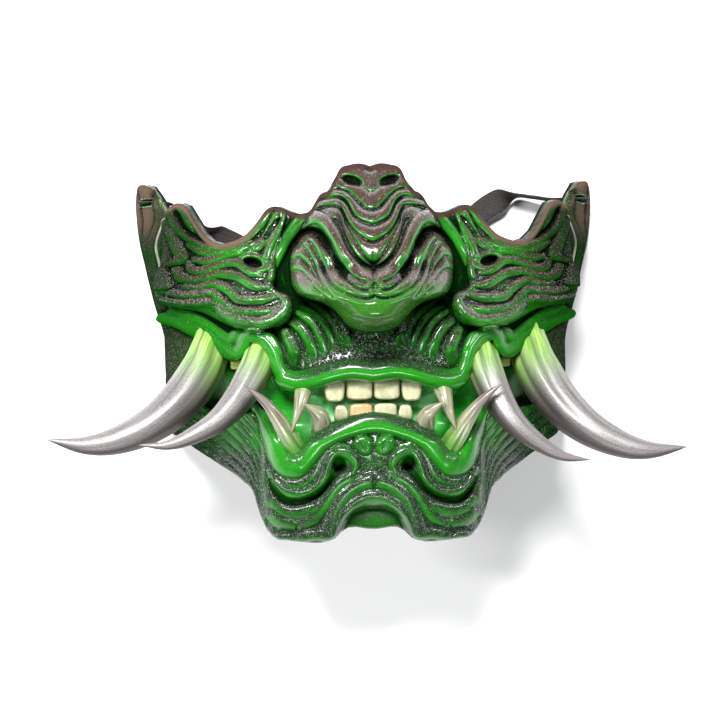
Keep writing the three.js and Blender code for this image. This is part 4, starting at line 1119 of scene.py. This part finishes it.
def tooth_paint(name, colour, edge_colour):
    """Ivory, olive at the gum, and painted olive shade round its sides where the teeth meet."""
    p = Paint(name, Coat_Weight=0.5, Coat_Roughness=0.08)
    mottle = p.noise(260, 3, 0.6)
    edge, rim = p.numbers("edge rim")
    base = p.mix(p.ramp(mottle, 0.3, 0.7, 0, 0.4), colour, edge_colour)
    base = p.mix(p.ramp(edge, 0.1, 0.85, 0, 0.75), base, edge_colour)
    # Painted shade: olive round the sides, between the teeth
    base = p.mix(p.ramp(rim, 0.8, 1.0, 0, 0.85), base, edge_colour)
    p.bump(mottle, 0.15, 0.0005)
    return p.finish(base, 0.28)


def elastic_paint():
    """Black woven elastic: ribs along it crossed by fine threads."""
    p = Paint("black_elastic_weave", Roughness=0.85)
    thread = p.noise(1.0, 2, 0.5, p.scaled(2600, 2600, 700))
    colour = p.mix(p.ramp(thread, 0.35, 0.65), (0.006, 0.005, 0.005), (0.04, 0.033, 0.028))
    p.bump(thread, 0.5, 0.0004)
    return p.finish(colour)


def plain_paint(name, colour, roughness):
    p = Paint(name, Roughness=roughness)
    return p.finish(colour)


# The scene
make_camera()
make_strap(elastic_paint())
shell = make_shell(shell_paint())
thin_out(shell)
cut_slots(shell)

TUSK, DARK_FANG, PALE_FANG = tusk_paint(), fang_paint("fang_paint", 0.9), fang_paint("pale_fang_paint", 0.3)
# Each horn's path, diameter, fullness towards the tip, share of its thickness at the root, turn, number of
# flutes, and slot
HORNS = {
    "outer_tusk": (OUTER_TUSK, OUTER_TUSK_DIAMETER, 2.4, 0.84, OUTER_TUSK_TURN, 7, "silver_tusk"),
    "inner_tusk": (INNER_TUSK, INNER_TUSK_DIAMETER, 1.6, 0.92, INNER_TUSK_TURN, 6, "silver_tusk"),
    "lower_fang": (LOWER_FANG, LOWER_FANG_DIAMETER, 1.4, 1, 0, 5, "ivory_tooth"),
    "small_lower_fang": (SMALL_FANG, SMALL_FANG_DIAMETER, 3.2, 1, 0, 5, "ivory_tooth"),
    "upper_fang": (UPPER_FANG, UPPER_FANG_DIAMETER, 1.4, 1, 0, 4, "ivory_tooth"),
}
# Each tooth's name, the side that its edge is on, width, height, depth and how pointed it is
TEETH = [
    ("upper_central_incisor", -1, 10.6, 9, INCISOR_DEPTH, 0),
    ("upper_lateral_incisor", -1, 8.6, 9.6, INCISOR_DEPTH, 0.2),
    ("lower_central_incisor", 1, 9.4, 6.8, INCISOR_DEPTH - 1, 0),
    ("lower_lateral_incisor", 1, 6, 6.2, INCISOR_DEPTH - 1, 0.3),
    ("side_molar", -1, MOLAR_DIAMETER, MOLAR_DIAMETER, MOLAR_DIAMETER, 0),
]
IVORY = tooth_paint("incisor_paint", (0.47, 0.45, 0.29), (0.14, 0.16, 0.05))
ORANGE = tooth_paint("stained_incisor_paint", (0.54, 0.34, 0.16), (0.2, 0.15, 0.05))
LIME = tooth_paint("molar_paint", (0.36, 0.42, 0.1), (0.12, 0.26, 0.04))
for side, word in ((1, "right"), (-1, "left")):
    for name, shape in HORNS.items():
        fang = DARK_FANG if name == "lower_fang" else PALE_FANG
        make_horn(f"{name}_{word}", side, shape, TUSK if "tusk" in name else fang)
    stained = ORANGE if word == "left" else IVORY
    for name, way, width, height, depth, point in TEETH:
        paint = stained if name == "lower_central_incisor" else LIME if name == "side_molar" else IVORY
        make_tooth(f"{name}_{word}", way, (width, height, depth), point, paint)


# Floor, world and lights, in metres and watts
FLOOR_REACH = 3
LIGHT_AIM = Vector((0, 0, 0.05))
WORLD_COLOUR, WORLD_STRENGTH = (0.9, 0.95, 1, 1), 0.12

# Each light's name, place, size and power
LIGHTS = [
    ("key", (-0.25, 0.8, 1.3), (0.6, 0.3), 44),
    ("left", (-1.1, 0.2, 0.8), (0.1, 0.5), 13),
    ("right", (1.1, 0.2, 0.8), (0.1, 0.5), 6),
    ("low", (0, -1.0, 1.0), (0.6, 0.1), 8),
]


def make_floor():
    mesh = bpy.data.meshes.new("floor")
    corners = [(x * FLOOR_REACH, y * FLOOR_REACH, 0) for x, y in ((-1, -1), (1, -1), (1, 1), (-1, 1))]
    mesh.from_pydata(corners, [], [(0, 1, 2, 3)])
    mesh.materials.append(plain_paint("floor_paint", (0.9, 0.9, 0.9), 0.6))
    floor = add_object("floor", mesh)


def make_light(name, where, size, power):
    data = bpy.data.lights.new(name, "AREA")
    data.shape = "RECTANGLE"
    data.size, data.size_y = size
    data.energy = power
    light = add_object(name, data)
    light.location = where
    light.rotation_euler = (LIGHT_AIM - Vector(where)).to_track_quat("-Z", "Y").to_euler()


def make_world():
    world = bpy.data.worlds.new("world")
    bpy.context.scene.world = world
    world.use_nodes = True
    back = world.node_tree.nodes["Background"]
    back.inputs[0].default_value = WORLD_COLOUR
    back.inputs[1].default_value = WORLD_STRENGTH


make_floor()
make_world()
bpy.context.scene.view_settings.view_transform = "Standard"
for row in LIGHTS:
    make_light(*row)
